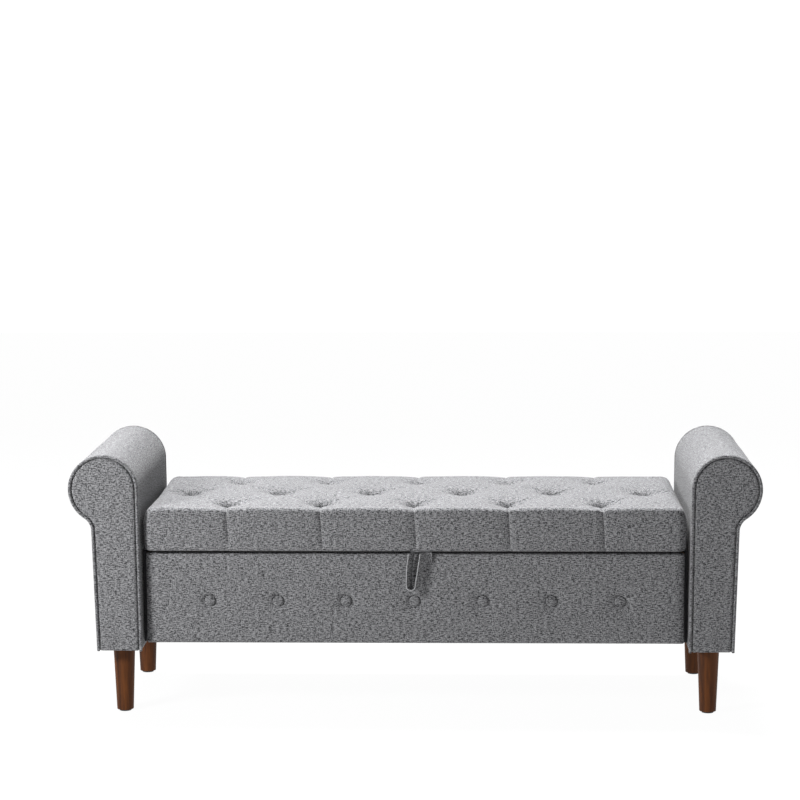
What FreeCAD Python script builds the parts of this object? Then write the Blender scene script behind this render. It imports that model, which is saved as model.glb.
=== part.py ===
"""Storage bench with rolled arms and a hinged, padded lid.

Frame: +X to the sitter's left-hand arm seen from the front (right in a front view), +Y to the
rear, +Z up. The origin is at floor level, below the middle of the bench. Millimetres.
"""
import FreeCAD, Part
import math
import os

from FreeCAD import Vector

# ---------------------------------------------------------------- overall sizes
LENGTH = 1600.0            # across both arm rolls
DEPTH = 500.0              # over the front and rear welts of the arms
HEIGHT = 617.0             # floor to the top of the arm rolls
LEG_HEIGHT = 155.0         # floor to the underside of the arms
SEAT_HEIGHT = 490.0        # floor to the top of the lid
LID_THICKNESS = 101.0      # board, foam and covers together
LID_GAP = 5.0              # closed gap between the lid and the box rim
BOX_BOTTOM = 168.0         # underside of the storage box

# ---------------------------------------------------------------- arms
ROLL_R = 81.0              # radius of the arm roll
ROLL_OVERHANG = 60.0       # how far the roll stands out beyond the arm post
POST_WIDTH = 106.0         # arm post, inner face to outer face, at the bottom
NECK_R = 35.0              # concave radius under the roll
WELT_R = 3.0               # piping around the arm faces
FACING_RECESS = 1.0        # arm facing set back from the front of the welt
FIT_GAP = 0.2              # between sewn covers that meet
PAST = 1.0                 # cutting tools run this far past a face
ARM_FOAM = 10.0
PROFILE_BOARD = 15.0       # boards that carry the arm's shape
INNER_PANEL = 9.0
OUTER_PANEL = 3.0
RAIL_HEIGHT = 22.0
SLAT = 20.0
SLAT_DEPTH = 31.0          # roll's surface to the slats' middle
SLAT_ANGLES = (0, 60, 120, 180)
PANEL_TOP_DROP = 27.0      # top of the inner panel below the roll axis

# ---------------------------------------------------------------- box
COVER = 1.5                # upholstery cloth
LINING = 1.0               # thin lining cloth
PANEL_SETBACK = 25.0       # front panel behind the front of the arms
PANEL_SIDE_GAP = 8.0       # front panel to arm
PANEL_EDGE_R = 8.0
FRONT_FOAM = 10.0
FRONT_BOARD = 12.0
SIDE_BOARD = 18.0
REAR_BOARD = 18.0
REAR_SETBACK = 14.0        # rear cover in front of the rear of the arms
BOTTOM_BOARD = 9.0
BOTTOM_RECESS = 4.0        # underside of the bottom board above the side boards' lower edges
GLUE_BLOCK = 28.0
GLUE_BLOCK_HEIGHT = 30.0

BUTTON_COUNT = 7
BUTTON_PITCH = 159.0
BUTTON_R = 12.0
BUTTON_HEIGHT = 102.0      # above the underside of the box
BUTTON_SINK = 6.0          # how deep the padding is pulled in
BUTTON_DOME = 7.0
BUTTON_PLATE = 2.0
BUTTON_SHANK_R = 2.0

# ---------------------------------------------------------------- lid
LID_SETBACK = 18.0         # front of the lid behind the front of the arms
LID_SIDE_GAP = 6.0         # lid to arm
LID_CORNER_R = 25.0
LID_EDGE_R = 14.0
SMALLEST_FILLET = 2.0
LID_BOARD = 12.0
LID_HEM = 40.0             # width of the cover turned under the lid board
TUFT_PITCH = 218.0
TUFT_ROWS = ((-1, 5), (0, 6), (1, 5))    # rows from the middle one, and the tufts in each
TUFT_ROW_PITCH = 146.0
TUFT_ROW_SHIFT = 14.0      # middle row behind the lid's middle
TUFT_HOLE_R = 7.0
TUFT_DEPTH = 33.0          # top of the clasp below the lid's top
TUFT_CLASP_R = 6.0
TUFT_CLASP = 2.0
TWINE_R = 1.0
TUFT_WASHER_R = 8.0

# ---------------------------------------------------------------- hinges
HINGE_XS = (-400.0, 0.0, 400.0)
HINGE_WIDTH = 60.0
LEAF = 1.6
KNUCKLE_R = 4.0
KNUCKLES = 5
KNUCKLE_GAP = 0.4
HINGE_PIN_R = 2.0
HINGE_STANDOFF = 1.5       # knuckles behind the rear cover
PIN_HEAD_R = 3.5
PIN_HEAD = 1.0
PIN_CLEARANCE = 0.05
LEAF_CLEARANCE = 0.6       # leaf notch around the other leaf's knuckle
LEAF_EDGE = 2.0            # board edge to leaf edge
HINGE_SCREW_X = 18.0

# ---------------------------------------------------------------- lid struts
OPEN_ANGLE = 75.0          # lid travel
STRUT_RADIUS = 160.0       # both strut pivots from the hinge axis
STRUT_BOX_REACH = 38.7     # box pivot in front of the hinge axis, clear of the rear lining
STRUT_LID_ANGLE = -8.0
STRUT_WALL_GAP = 18.0      # strut axis to the lined side wall
STRUT_TUBE_R = 9.0
STRUT_BORE_R = 7.5
STRUT_ROD_R = 4.0
STRUT_NECK_R = 3.5
STRUT_EYE_R = 7.5
STRUT_EYE_WIDTH = 8.0
STRUT_ROOT = 6.0           # eye's centre to where the neck or rod starts inside its ring
STUD_R = 4.0
STUD_CAP_R = 6.0
STUD_CAP = 2.5
STUD_PLAY = 0.5            # end play of an eye on its stud
TUBE_START = 15.0          # box pivot to the closed end of the tube
TUBE_MOUTH = 22.0          # lid pivot to the tube's open end, lid closed
TUBE_END = 3.0             # thickness of the tube's ends
PISTON_GAP = 3.0           # piston to the tube's inner end, lid closed
PISTON = 6.0
BRACKET = 2.0
BRACKET_WIDTH = 32.0
BRACKET_FOOT = 20.0
BRACKET_SHIFT = 5.0        # box bracket's middle in front of its stud
BRACKET_SCREW_EDGE = 5.0   # screw to the bracket's end
TAB_GAP = 6.0              # lid bracket's tab to the lined side wall

# ---------------------------------------------------------------- legs and fasteners
LEG_INSET_Y = 61.0         # leg axis from the front or rear of the arms
LEG_INSET_X = 115.0        # leg axis from the end of the bench
LEG_TOP_R = 25.5
LEG_FOOT_R = 19.5
GLIDE_R = 14.0
GLIDE_HEIGHT = 4.0
BOLT_R = 4.0
BOLT_CLEARANCE = 0.3
BOLT_HEAD_R = 7.0
BOLT_HEAD = 5.0
BOLT_LENGTH = 50.0
SOCKET_R = 3.0             # hexagon socket, across corners / 2
SOCKET_DEPTH = 3.0
HANGER_IN_LEG = 35.0
HANGER_IN_RAIL = 28.0
TEE_FLANGE_R = 11.0
TEE_FLANGE = 1.6
TEE_BARREL_R = 5.2
TEE_BARREL = 8.0
TEE_SEAT = 0.5             # tee nut's flange off the leaning inner panel
ARM_BOLT_YS = (-150.0, 110.0)
ARM_BOLT_ZS = (52.0, 152.0)   # above the underside of the box
SCREW_R = 1.6
SCREW_HEAD_R = 3.2
SCREW_HEAD = 1.5
SCREW_LENGTH = 14.0
CORNER_SCREW_LENGTH = 32.0
CORNER_SCREW_ZS = (32.0, 106.0, 180.0)   # above the underside of the box
HOLE_CLEARANCE = 0.1

BUMPER_R = 5.0
BUMPER_INSET = 130.0       # bumper from the end of the front panel
REST_GAP = 0.3             # lid above the bumpers when shut

# ---------------------------------------------------------------- pull strap
STRAP_X = 14.0             # middle of the strap's root, right of the bench's middle
STRAP_TAPE = 22.0          # tape width
STRAP_THICKNESS = 2.5
STRAP_HELD = 2.0           # thickness of the tape held under the lid
STRAP_DROP = 88.0          # length of the hanging loop
STRAP_ROOT_GAP = 2.0       # between the two tape ends at the root
STRAP_BULGE = 26.0         # outer width of the loop at its widest
STRAP_LEAN = 16.0          # bottom of the loop towards -X from the root
STRAP_TURN = 35.0          # the tape's width turned from straight back, degrees
STRAP_IN_LID = 40.0        # tape held under the lid
STRAP_FRONT_GAP = 0.4      # tape in front of the strap's swing axis
ANCHOR_SETBACK = 3.5       # end of the held tape behind the lid's front

# ---------------------------------------------------------------- derived places
FRONT_Y = -DEPTH / 2
REAR_Y = DEPTH / 2
ROLL_X = LENGTH / 2 - ROLL_R
SLAT_RADIUS = ROLL_R - SLAT_DEPTH
ROLL_Z = HEIGHT - ROLL_R
ARM_OUTER = LENGTH / 2 - ROLL_OVERHANG
ARM_INNER = ARM_OUTER - POST_WIDTH
NECK_X = ARM_OUTER + NECK_R
NECK_Z = ROLL_Z - math.sqrt((ROLL_R + NECK_R) ** 2 - (NECK_X - ROLL_X) ** 2)
WRAP_END = DEPTH / 2 - 2 * WELT_R - FIT_GAP      # end of the arm's wrap cover, along Y
FRAME_INSET = COVER + ARM_FOAM
ARM_FLOOR = LEG_HEIGHT + COVER

BOX_TOP = SEAT_HEIGHT - LID_THICKNESS - LID_GAP
BOARD_TOP = BOX_TOP - COVER
BOARD_BOTTOM = BOX_BOTTOM + COVER
PANEL_X = ARM_INNER - PANEL_SIDE_GAP
BOARD_X = PANEL_X - COVER
PANEL_Y = FRONT_Y + PANEL_SETBACK
FRONT_FOAM_Y = PANEL_Y + COVER
FRONT_BOARD_Y = FRONT_FOAM_Y + FRONT_FOAM
WELL_FRONT = FRONT_BOARD_Y + FRONT_BOARD
BACK_Y = REAR_Y - REAR_SETBACK
WELL_REAR = BACK_Y - COVER - REAR_BOARD
WELL_X = ARM_INNER - SIDE_BOARD
WELL_FLOOR = BOARD_BOTTOM + BOTTOM_RECESS + BOTTOM_BOARD
BUTTON_Z = BOX_BOTTOM + BUTTON_HEIGHT
BUTTON_XS = [(i - (BUTTON_COUNT - 1) / 2) * BUTTON_PITCH for i in range(BUTTON_COUNT)]

LID_X = ARM_INNER - LID_SIDE_GAP
LID_FRONT = FRONT_Y + LID_SETBACK
LID_BOTTOM = SEAT_HEIGHT - LID_THICKNESS
LID_BOARD_Z = LID_BOTTOM + COVER
LID_FOAM_Z = LID_BOARD_Z + LID_BOARD
TUFT_CLASP_Z = SEAT_HEIGHT - TUFT_DEPTH

HINGE_Y = BACK_Y + KNUCKLE_R + HINGE_STANDOFF
HINGE_Z = BOX_TOP + LID_GAP / 2
HINGE_LEAF_FRONT = WELL_REAR + LEAF_EDGE
HINGE_SCREW_Y = WELL_REAR + REAR_BOARD / 2
LEAF_NEAR = LID_GAP / 2 - LEAF     # hinge axis to the near face of either leaf

STRUT_X = WELL_X - LINING - STRUT_WALL_GAP
LEG_X = LENGTH / 2 - LEG_INSET_X
LEG_Y = DEPTH / 2 - LEG_INSET_Y

STRAP_AXIS_Y = LID_FRONT + ANCHOR_SETBACK
ANCHOR_BOTTOM = LID_BOTTOM - STRAP_HELD
STRAP_AXIS_Z = ANCHOR_BOTTOM - STRAP_FRONT_GAP


# ---------------------------------------------------------------- shape helpers
def box(x0, x1, y0, y1, z0, z1):
    """A block between two corners."""
    return Part.makeBox(x1 - x0, y1 - y0, z1 - z0, Vector(x0, y0, z0))


def rod(start, along, radius, length):
    """A cylinder from a start point along a direction."""
    return Part.makeCylinder(radius, length, start, along)


def fuse(shapes):
    """One solid from touching shapes."""
    whole = shapes[0]
    for shape in shapes[1:]:
        whole = whole.fuse(shape)
    return whole


def cut(shape, tools):
    """The shape with every tool taken away."""
    for tool in tools:
        shape = shape.cut(tool)
    return shape


def group(shapes):
    """Separate solids kept together in one node."""
    return Part.makeCompound(shapes)


def mirrored(shape):
    """The same shape on the bench's other end."""
    return shape.mirror(Vector(0, 0, 0), Vector(1, 0, 0))


def both_ends(shapes):
    """The shapes of the right-hand end and their mirror images."""
    return list(shapes) + [mirrored(shape) for shape in shapes]


def round_edges(shape, radius, chosen):
    """Fillet the edges for which chosen(edge) is true."""
    return shape.makeFillet(radius, [edge for edge in shape.Edges if chosen(edge)])


def is_vertical(edge):
    """True for a straight edge along Z."""
    return edge.BoundBox.XLength < 1e-6 and edge.BoundBox.YLength < 1e-6


def screw(head, into, length):
    """A countersunk screw; head is the middle of its flat face, into its driving direction."""
    cone = Part.makeCone(SCREW_HEAD_R, SCREW_R, SCREW_HEAD, head, into)
    return fuse([cone, rod(head, into, SCREW_R, length)])


def screw_hole(head, into, length):
    """The countersunk hole that a screw sits in."""
    cone = Part.makeCone(SCREW_HEAD_R + HOLE_CLEARANCE, SCREW_R + HOLE_CLEARANCE, SCREW_HEAD,
                         head, into)
    return fuse([cone, rod(head, into, SCREW_R + HOLE_CLEARANCE, length + HOLE_CLEARANCE)])


# ---------------------------------------------------------------- arms
def arm_line(inset, base):
    """The arm's outline without its bottom edge, in the plane y = 0, as a list of edges.

    It runs up the inner side, over the roll, through the neck and down the outer side. The
    inset moves every side inwards by the same amount.
    """
    roll, neck = ROLL_R - inset, NECK_R + inset
    outer = ARM_OUTER - inset
    reach = Vector(ARM_INNER - ROLL_X, 0, LEG_HEIGHT - ROLL_Z)
    normal_angle = math.atan2(reach.z, reach.x) % (2 * math.pi) - math.acos(ROLL_R / reach.Length)
    normal = Vector(math.cos(normal_angle), 0, math.sin(normal_angle))
    center = Vector(ROLL_X, 0, ROLL_Z)
    roll_start = center + normal * roll
    foot_x = ROLL_X + (roll - normal.z * (base - ROLL_Z)) / normal.x
    to_neck = Vector(NECK_X - ROLL_X, 0, NECK_Z - ROLL_Z).normalize()
    roll_end = center + to_neck * roll
    neck_angle = math.atan2(-to_neck.z, -to_neck.x)
    middle_angle = (neck_angle + math.pi) / 2
    neck_middle = Vector(NECK_X, 0, NECK_Z) + Vector(math.cos(middle_angle), 0,
                                                    math.sin(middle_angle)) * neck
    top_angle = (normal_angle + math.atan2(to_neck.z, to_neck.x)) / 2
    top = center + Vector(math.cos(top_angle), 0, math.sin(top_angle)) * roll
    neck_end = Vector(outer, 0, NECK_Z)
    return [Part.LineSegment(Vector(foot_x, 0, base), roll_start).toShape(),
            Part.Arc(roll_start, top, roll_end).toShape(),
            Part.Arc(roll_end, neck_middle, neck_end).toShape(),
            Part.LineSegment(neck_end, Vector(outer, 0, base)).toShape()]


def arm_block(inset, base, y0, y1):
    """A solid of the arm's outline between two places along Y."""
    edges = arm_line(inset, base)
    first, last = edges[0].Vertexes[0].Point, edges[-1].Vertexes[-1].Point
    wire = Part.Wire(edges + [Part.LineSegment(last, first).toShape()])
    face = Part.Face(wire)
    face.translate(Vector(0, y0, 0))
    return face.extrude(Vector(0, y1 - y0, 0))


def arm_welt(y):
    """The piping around one end of the arm, open along the bottom."""
    path = Part.Wire(arm_line(WELT_R, LEG_HEIGHT))
    path.translate(Vector(0, y, 0))
    start, end = [vertex.Point for vertex in path.Edges[0].Vertexes]
    ring = Part.Wire(Part.makeCircle(WELT_R, start, end - start))
    return path.makePipeShell([ring], True, False)


def arm_bolt_places():
    """Where the bolts between the box and the right arm run, as (y, z)."""
    return [(y, BOX_BOTTOM + z) for y in ARM_BOLT_YS for z in ARM_BOLT_ZS]


def leg_places():
    """The axes of the right arm's two legs, as y."""
    return (-LEG_Y, LEG_Y)


def arm_holes():
    """What the bolts and legs need cleared in the right arm's layers."""
    side = [rod(Vector(WELL_X, y, z), Vector(1, 0, 0), BOLT_R + BOLT_CLEARANCE,
                BOLT_LENGTH + PAST)
            for y, z in arm_bolt_places()]
    under = [rod(Vector(LEG_X, y, LEG_HEIGHT - PAST), Vector(0, 0, 1), BOLT_R + BOLT_CLEARANCE,
                 COVER + RAIL_HEIGHT + 2 * PAST)
             for y in leg_places()]
    return side + under


def make_arm():
    """Every piece of the right arm."""
    holes = arm_holes()
    board_y = WRAP_END - PROFILE_BOARD
    cover = cut(arm_block(0, LEG_HEIGHT, -WRAP_END, WRAP_END),
                [arm_block(COVER, ARM_FLOOR, -WRAP_END, WRAP_END)] + holes)
    foam = cut(arm_block(COVER, ARM_FLOOR, -WRAP_END, WRAP_END),
               [arm_block(FRAME_INSET, ARM_FLOOR - PAST, -WRAP_END, WRAP_END)] + holes)
    skin = cut(arm_block(FRAME_INSET, ARM_FLOOR, -board_y, board_y),
               [arm_block(FRAME_INSET + INNER_PANEL, ARM_FLOOR - PAST, -board_y, board_y)])
    inner_side = box(ARM_INNER, ROLL_X - ROLL_R / 2, -board_y, board_y, ARM_FLOOR,
                     ROLL_Z - PANEL_TOP_DROP)
    panel = cut(skin.common(inner_side), holes + tee_holes())
    thin = cut(arm_block(FRAME_INSET, ARM_FLOOR, -board_y, board_y),
               [arm_block(FRAME_INSET + OUTER_PANEL, ARM_FLOOR - PAST, -board_y, board_y)])
    outer_side = box(ARM_OUTER - POST_WIDTH / 2, ARM_OUTER, -board_y, board_y, ARM_FLOOR, NECK_Z)
    facing_y = DEPTH / 2 - FACING_RECESS
    facing = arm_block(2 * WELT_R, LEG_HEIGHT, WRAP_END, facing_y)
    return {
        "cover": cover,
        "foam": foam,
        "front_profile_board": arm_block(FRAME_INSET, ARM_FLOOR, -WRAP_END, -board_y),
        "rear_profile_board": arm_block(FRAME_INSET, ARM_FLOOR, board_y, WRAP_END),
        "inner_panel": panel,
        "outer_panel": thin.common(outer_side),
        "rails": group([make_leg_rail(board_y)] + make_slats(board_y)),
        "front_facing": arm_block(2 * WELT_R, LEG_HEIGHT, -facing_y, -WRAP_END),
        "rear_facing": facing,
        "welts": group([arm_welt(-DEPTH / 2 + WELT_R), arm_welt(DEPTH / 2 - WELT_R)]),
    }


def make_leg_rail(board_y):
    """The thick bottom rail that the legs screw into."""
    inner = ARM_INNER + FRAME_INSET + INNER_PANEL + PAST
    outer = ARM_OUTER - FRAME_INSET - OUTER_PANEL
    rail = box(inner, outer, -board_y, board_y, ARM_FLOOR, ARM_FLOOR + RAIL_HEIGHT)
    return cut(rail, arm_holes() + tee_holes())


def make_slats(board_y):
    """Slats around the inside of the roll."""
    slats = []
    for angle in SLAT_ANGLES:
        slat = box(SLAT_RADIUS - SLAT / 2, SLAT_RADIUS + SLAT / 2, -board_y, board_y,
                   -SLAT / 2, SLAT / 2)
        slat.rotate(Vector(0, 0, 0), Vector(0, -1, 0), angle)
        slat.translate(Vector(ROLL_X, 0, ROLL_Z))
        slats.append(slat)
    return slats


def tee_nut(face, into):
    """A tee nut; face is the middle of the surface it sits on, into points into the wood."""
    flange = rod(face - into * TEE_FLANGE, into, TEE_FLANGE_R, TEE_FLANGE)
    barrel = rod(face, into, TEE_BARREL_R, TEE_BARREL)
    bore = rod(face - into * TEE_FLANGE, into, BOLT_R + PIN_CLEARANCE,
               TEE_BARREL + 2 * TEE_FLANGE)
    return fuse([flange, barrel]).cut(bore)


def tee_places():
    """Every tee nut of the right arm, as (face, into)."""
    panel_face = ARM_INNER + FRAME_INSET + INNER_PANEL
    lean = (ROLL_X - ROLL_R - ARM_INNER) / (ROLL_Z - LEG_HEIGHT)
    side = [(Vector(panel_face + lean * (z - LEG_HEIGHT) + TEE_SEAT, y, z), Vector(-1, 0, 0))
            for y, z in arm_bolt_places()]
    top = ARM_FLOOR + RAIL_HEIGHT
    return side + [(Vector(LEG_X, y, top), Vector(0, 0, -1)) for y in leg_places()]


def tee_holes():
    """The holes that the tee nuts' barrels sit in."""
    return [rod(face - into * PAST, into, TEE_BARREL_R + HOLE_CLEARANCE, TEE_BARREL + 1.5 * PAST)
            for face, into in tee_places()]


# ---------------------------------------------------------------- legs and bolts
def make_leg(y):
    """A right-hand leg: a round taper with a hole for its hanger bolt."""
    taper = Part.makeCone(LEG_FOOT_R, LEG_TOP_R, LEG_HEIGHT - GLIDE_HEIGHT,
                          Vector(LEG_X, y, GLIDE_HEIGHT))
    hole = rod(Vector(LEG_X, y, LEG_HEIGHT), Vector(0, 0, -1), BOLT_R + HOLE_CLEARANCE,
               HANGER_IN_LEG + 1)
    return taper.cut(hole)


def make_hanger_bolt(y):
    """The bolt that holds a right-hand leg."""
    return rod(Vector(LEG_X, y, LEG_HEIGHT - HANGER_IN_LEG), Vector(0, 0, 1), BOLT_R,
               HANGER_IN_LEG + HANGER_IN_RAIL)


def hexagon_pocket(middle, into, radius, depth):
    """A hexagon socket that runs into a bolt's head."""
    side = into.cross(Vector(0, 1, 0)).normalize()
    turn = FreeCAD.Rotation(into, 60)
    corners = [side * radius]
    for _ in range(6):
        corners.append(turn.multVec(corners[-1]))
    wire = Part.makePolygon([middle + corner for corner in corners])
    return Part.Face(wire).extrude(into * depth)


def make_arm_bolt(y, z):
    """A bolt from the storage well through the side board into the right arm."""
    face = Vector(WELL_X - LINING, y, z)
    outwards = Vector(1, 0, 0)
    head = rod(face - outwards * BOLT_HEAD, outwards, BOLT_HEAD_R, BOLT_HEAD)
    shank = rod(face, outwards, BOLT_R, BOLT_LENGTH)
    socket = hexagon_pocket(face - outwards * BOLT_HEAD, outwards, SOCKET_R,
                            SOCKET_DEPTH)
    return fuse([head, shank]).cut(socket)


# ---------------------------------------------------------------- box
def panel_block(inset, y0, y1):
    """A slab of the front panel's outline; y0 is its rounded front."""
    slab = box(-PANEL_X + inset, PANEL_X - inset, y0, y1, BOX_BOTTOM + inset, BOX_TOP - inset)
    return round_edges(slab, PANEL_EDGE_R - inset,
                       lambda edge: is_vertical(edge) and edge.BoundBox.YMin < y0 + 0.1)


def front_screws():
    """The screws from the front board into the side boards, as heads on the board's face."""
    x = (WELL_X + BOARD_X) / 2
    heads = [Vector(x, FRONT_BOARD_Y, BOX_BOTTOM + z) for z in CORNER_SCREW_ZS]
    return heads + [Vector(-head.x, head.y, head.z) for head in heads]


def button_pocket(x, depth_y, radius):
    """The round pocket that a front button is pulled into."""
    return rod(Vector(x, PANEL_Y - PAST, BUTTON_Z), Vector(0, 1, 0), radius,
               depth_y - PANEL_Y + PAST)


def make_front_button(x):
    """A cloth-covered button: a dome on a plate, with its shank through the front board."""
    seat_y = PANEL_Y + BUTTON_SINK
    plate_y = seat_y - BUTTON_PLATE
    plate = rod(Vector(x, plate_y, BUTTON_Z), Vector(0, 1, 0), BUTTON_R, BUTTON_PLATE)
    rise = BUTTON_DOME - BUTTON_PLATE
    dome_r = (BUTTON_R ** 2 + rise ** 2) / (2 * rise)
    ball = Part.makeSphere(dome_r, Vector(x, seat_y - BUTTON_DOME + dome_r, BUTTON_Z))
    dome = ball.common(box(x - BUTTON_R, x + BUTTON_R, seat_y - BUTTON_DOME, plate_y,
                           BUTTON_Z - BUTTON_R, BUTTON_Z + BUTTON_R))
    shank = rod(Vector(x, seat_y, BUTTON_Z), Vector(0, 1, 0), BUTTON_SHANK_R,
                WELL_FRONT - seat_y)
    return fuse([plate, dome, shank])


def make_front():
    """The padded front: board, foam, cover and buttons."""
    pockets = [button_pocket(x, PANEL_Y + BUTTON_SINK, BUTTON_R + FIT_GAP) for x in BUTTON_XS]
    shanks = [button_pocket(x, WELL_FRONT + PAST, BUTTON_SHANK_R + HOLE_CLEARANCE)
              for x in BUTTON_XS]
    board = box(-BOARD_X, BOARD_X, FRONT_BOARD_Y, WELL_FRONT, BOARD_BOTTOM, BOARD_TOP)
    screws = [screw_hole(head, Vector(0, 1, 0), CORNER_SCREW_LENGTH) for head in front_screws()]
    cover = panel_block(0, PANEL_Y, WELL_FRONT).cut(panel_block(COVER, FRONT_FOAM_Y,
                                                               WELL_FRONT))
    foam = panel_block(COVER, FRONT_FOAM_Y, WELL_FRONT).common(
        box(-PANEL_X, PANEL_X, FRONT_FOAM_Y, FRONT_BOARD_Y, BOX_BOTTOM, BOX_TOP))
    return {
        "front_board": cut(board, shanks + screws),
        "front_foam": cut(foam, pockets + shanks),
        "front_cover": cut(cover, pockets),
        "front_buttons": group([make_front_button(x) for x in BUTTON_XS]),
    }


def make_side_board():
    """The right side board of the box."""
    board = box(WELL_X, ARM_INNER, WELL_FRONT, WELL_REAR, BOARD_BOTTOM, BOX_TOP - LINING)
    bolts = [rod(Vector(WELL_X - PAST, y, z), Vector(1, 0, 0), BOLT_R + BOLT_CLEARANCE,
                 SIDE_BOARD + 2 * PAST)
             for y, z in arm_bolt_places()]
    screws = [screw_hole(head, Vector(0, 1, 0), CORNER_SCREW_LENGTH) for head in front_screws()]
    return cut(board, bolts + screws + box_bracket_screw_holes())


def make_glue_blocks():
    """Blocks in the box's four lower corners."""
    blocks = []
    for y in (WELL_FRONT, WELL_REAR - GLUE_BLOCK):
        blocks.append(box(WELL_X - GLUE_BLOCK, WELL_X, y, y + GLUE_BLOCK, WELL_FLOOR,
                          WELL_FLOOR + GLUE_BLOCK_HEIGHT))
    return both_ends(blocks)


def make_lining():
    """The cloth that lines the well and laps over the tops of the side boards."""
    well = box(-WELL_X, WELL_X, WELL_FRONT, WELL_REAR, WELL_FLOOR, BOX_TOP)
    laps = box(-ARM_INNER, ARM_INNER, WELL_FRONT, WELL_REAR, BOX_TOP - LINING, BOX_TOP)
    space = box(-WELL_X + LINING, WELL_X - LINING, WELL_FRONT + LINING, WELL_REAR - LINING,
                WELL_FLOOR + LINING, BOX_TOP + PAST)
    bolts = [rod(Vector(WELL_X - LINING - PAST, y, z), Vector(1, 0, 0),
                 BOLT_R + BOLT_CLEARANCE, LINING + 2 * PAST)
             for y, z in arm_bolt_places()]
    screws = box_bracket_screw_holes()
    return cut(fuse([well, laps]), [space] + make_glue_blocks() + both_ends(bolts + screws))


def make_box():
    """The storage box between the arms."""
    side = make_side_board()
    screw_holes = [screw_hole(Vector(x, HINGE_SCREW_Y, HINGE_Z - LEAF_NEAR), Vector(0, 0, -1),
                              SCREW_LENGTH) for x in hinge_screw_xs()]
    rear_cover = box(-PANEL_X, PANEL_X, WELL_REAR, BACK_Y, BOX_BOTTOM, BOX_TOP).cut(
        box(-BOARD_X, BOARD_X, WELL_REAR, BACK_Y - COVER, BOARD_BOTTOM, BOARD_TOP))
    rear_board = box(-BOARD_X, BOARD_X, WELL_REAR, BACK_Y - COVER, BOARD_BOTTOM, BOARD_TOP)
    bottom_z = BOARD_BOTTOM + BOTTOM_RECESS
    pieces = make_front()
    pieces.update({
        "side_board_right": side,
        "side_board_left": mirrored(side),
        "rear_board": cut(rear_board, screw_holes),
        "rear_cover": cut(rear_cover, screw_holes),
        "bottom_board": box(-WELL_X, WELL_X, WELL_FRONT, WELL_REAR, bottom_z, WELL_FLOOR),
        "dust_cover": box(-ARM_INNER, ARM_INNER, WELL_FRONT, WELL_REAR, BOARD_BOTTOM - LINING,
                          BOARD_BOTTOM),
        "glue_blocks": group(make_glue_blocks()),
        "storage_lining": make_lining(),
        "lid_bumpers": group(both_ends([
            rod(Vector(PANEL_X - BUMPER_INSET, (FRONT_BOARD_Y + WELL_FRONT) / 2, BOX_TOP),
                Vector(0, 0, 1), BUMPER_R, LID_GAP - REST_GAP)])),
    })
    return pieces


# ---------------------------------------------------------------- hinges
def hinge_screw_xs():
    """Every place along X of a hinge screw."""
    return [x + side for x in HINGE_XS for side in (-HINGE_SCREW_X, HINGE_SCREW_X)]


def knuckle_spans(x, odd):
    """The stretches along X of one leaf's knuckles; odd picks the lid's."""
    pitch = HINGE_WIDTH / KNUCKLES
    start = x - HINGE_WIDTH / 2
    return [(start + i * pitch + KNUCKLE_GAP / 2, start + (i + 1) * pitch - KNUCKLE_GAP / 2)
            for i in range(KNUCKLES) if i % 2 == odd]


def make_leaf(x, side):
    """One hinge leaf with its knuckles; side is -1 for the box's leaf and +1 for the lid's."""
    z_far = HINGE_Z + side * (LEAF_NEAR + LEAF)
    z_near = HINGE_Z + side * LEAF_NEAR
    z0, z1 = min(z_near, z_far), max(z_near, z_far)
    plate = box(x - HINGE_WIDTH / 2 + KNUCKLE_GAP / 2, x + HINGE_WIDTH / 2 - KNUCKLE_GAP / 2,
                HINGE_LEAF_FRONT, HINGE_Y, z0, z1)
    axis = Vector(1, 0, 0)
    notches = [rod(Vector(x0 - KNUCKLE_GAP, HINGE_Y, HINGE_Z), axis,
                   KNUCKLE_R + LEAF_CLEARANCE, x1 - x0 + 2 * KNUCKLE_GAP)
               for x0, x1 in knuckle_spans(x, side < 0)]
    plate = cut(plate, notches)
    knuckles = [rod(Vector(x0, HINGE_Y, HINGE_Z), axis, KNUCKLE_R, x1 - x0)
                for x0, x1 in knuckle_spans(x, side > 0)]
    bore = rod(Vector(x - HINGE_WIDTH, HINGE_Y, HINGE_Z), axis, HINGE_PIN_R + PIN_CLEARANCE,
               2 * HINGE_WIDTH)
    holes = [screw_hole(Vector(sx, HINGE_SCREW_Y, z_near), Vector(0, 0, side), SCREW_LENGTH)
             for sx in (x - HINGE_SCREW_X, x + HINGE_SCREW_X)]
    return cut(fuse([plate] + knuckles), [bore] + holes)


def make_hinge_pin(x):
    """A hinge pin with a head at each end of the barrel."""
    axis = Vector(1, 0, 0)
    start = x - HINGE_WIDTH / 2 + KNUCKLE_GAP / 2
    length = HINGE_WIDTH - KNUCKLE_GAP
    heads = [rod(Vector(head_x, HINGE_Y, HINGE_Z), axis, PIN_HEAD_R, PIN_HEAD)
             for head_x in (start - PIN_HEAD, start + length)]
    return fuse([rod(Vector(start, HINGE_Y, HINGE_Z), axis, HINGE_PIN_R, length)] + heads)


def make_hinges():
    """Leaves, pins and screws of the rear hinges."""
    box_screws = [screw(Vector(x, HINGE_SCREW_Y, HINGE_Z - LEAF_NEAR), Vector(0, 0, -1),
                        SCREW_LENGTH) for x in hinge_screw_xs()]
    lid_screws = [screw(Vector(x, HINGE_SCREW_Y, HINGE_Z + LEAF_NEAR), Vector(0, 0, 1),
                        LID_BOARD) for x in hinge_screw_xs()]
    return {
        "hinge_box_leaves": group([make_leaf(x, -1) for x in HINGE_XS]),
        "hinge_lid_leaves": group([make_leaf(x, 1) for x in HINGE_XS]),
        "hinge_pins": group([make_hinge_pin(x) for x in HINGE_XS]),
    }, box_screws, lid_screws


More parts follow.
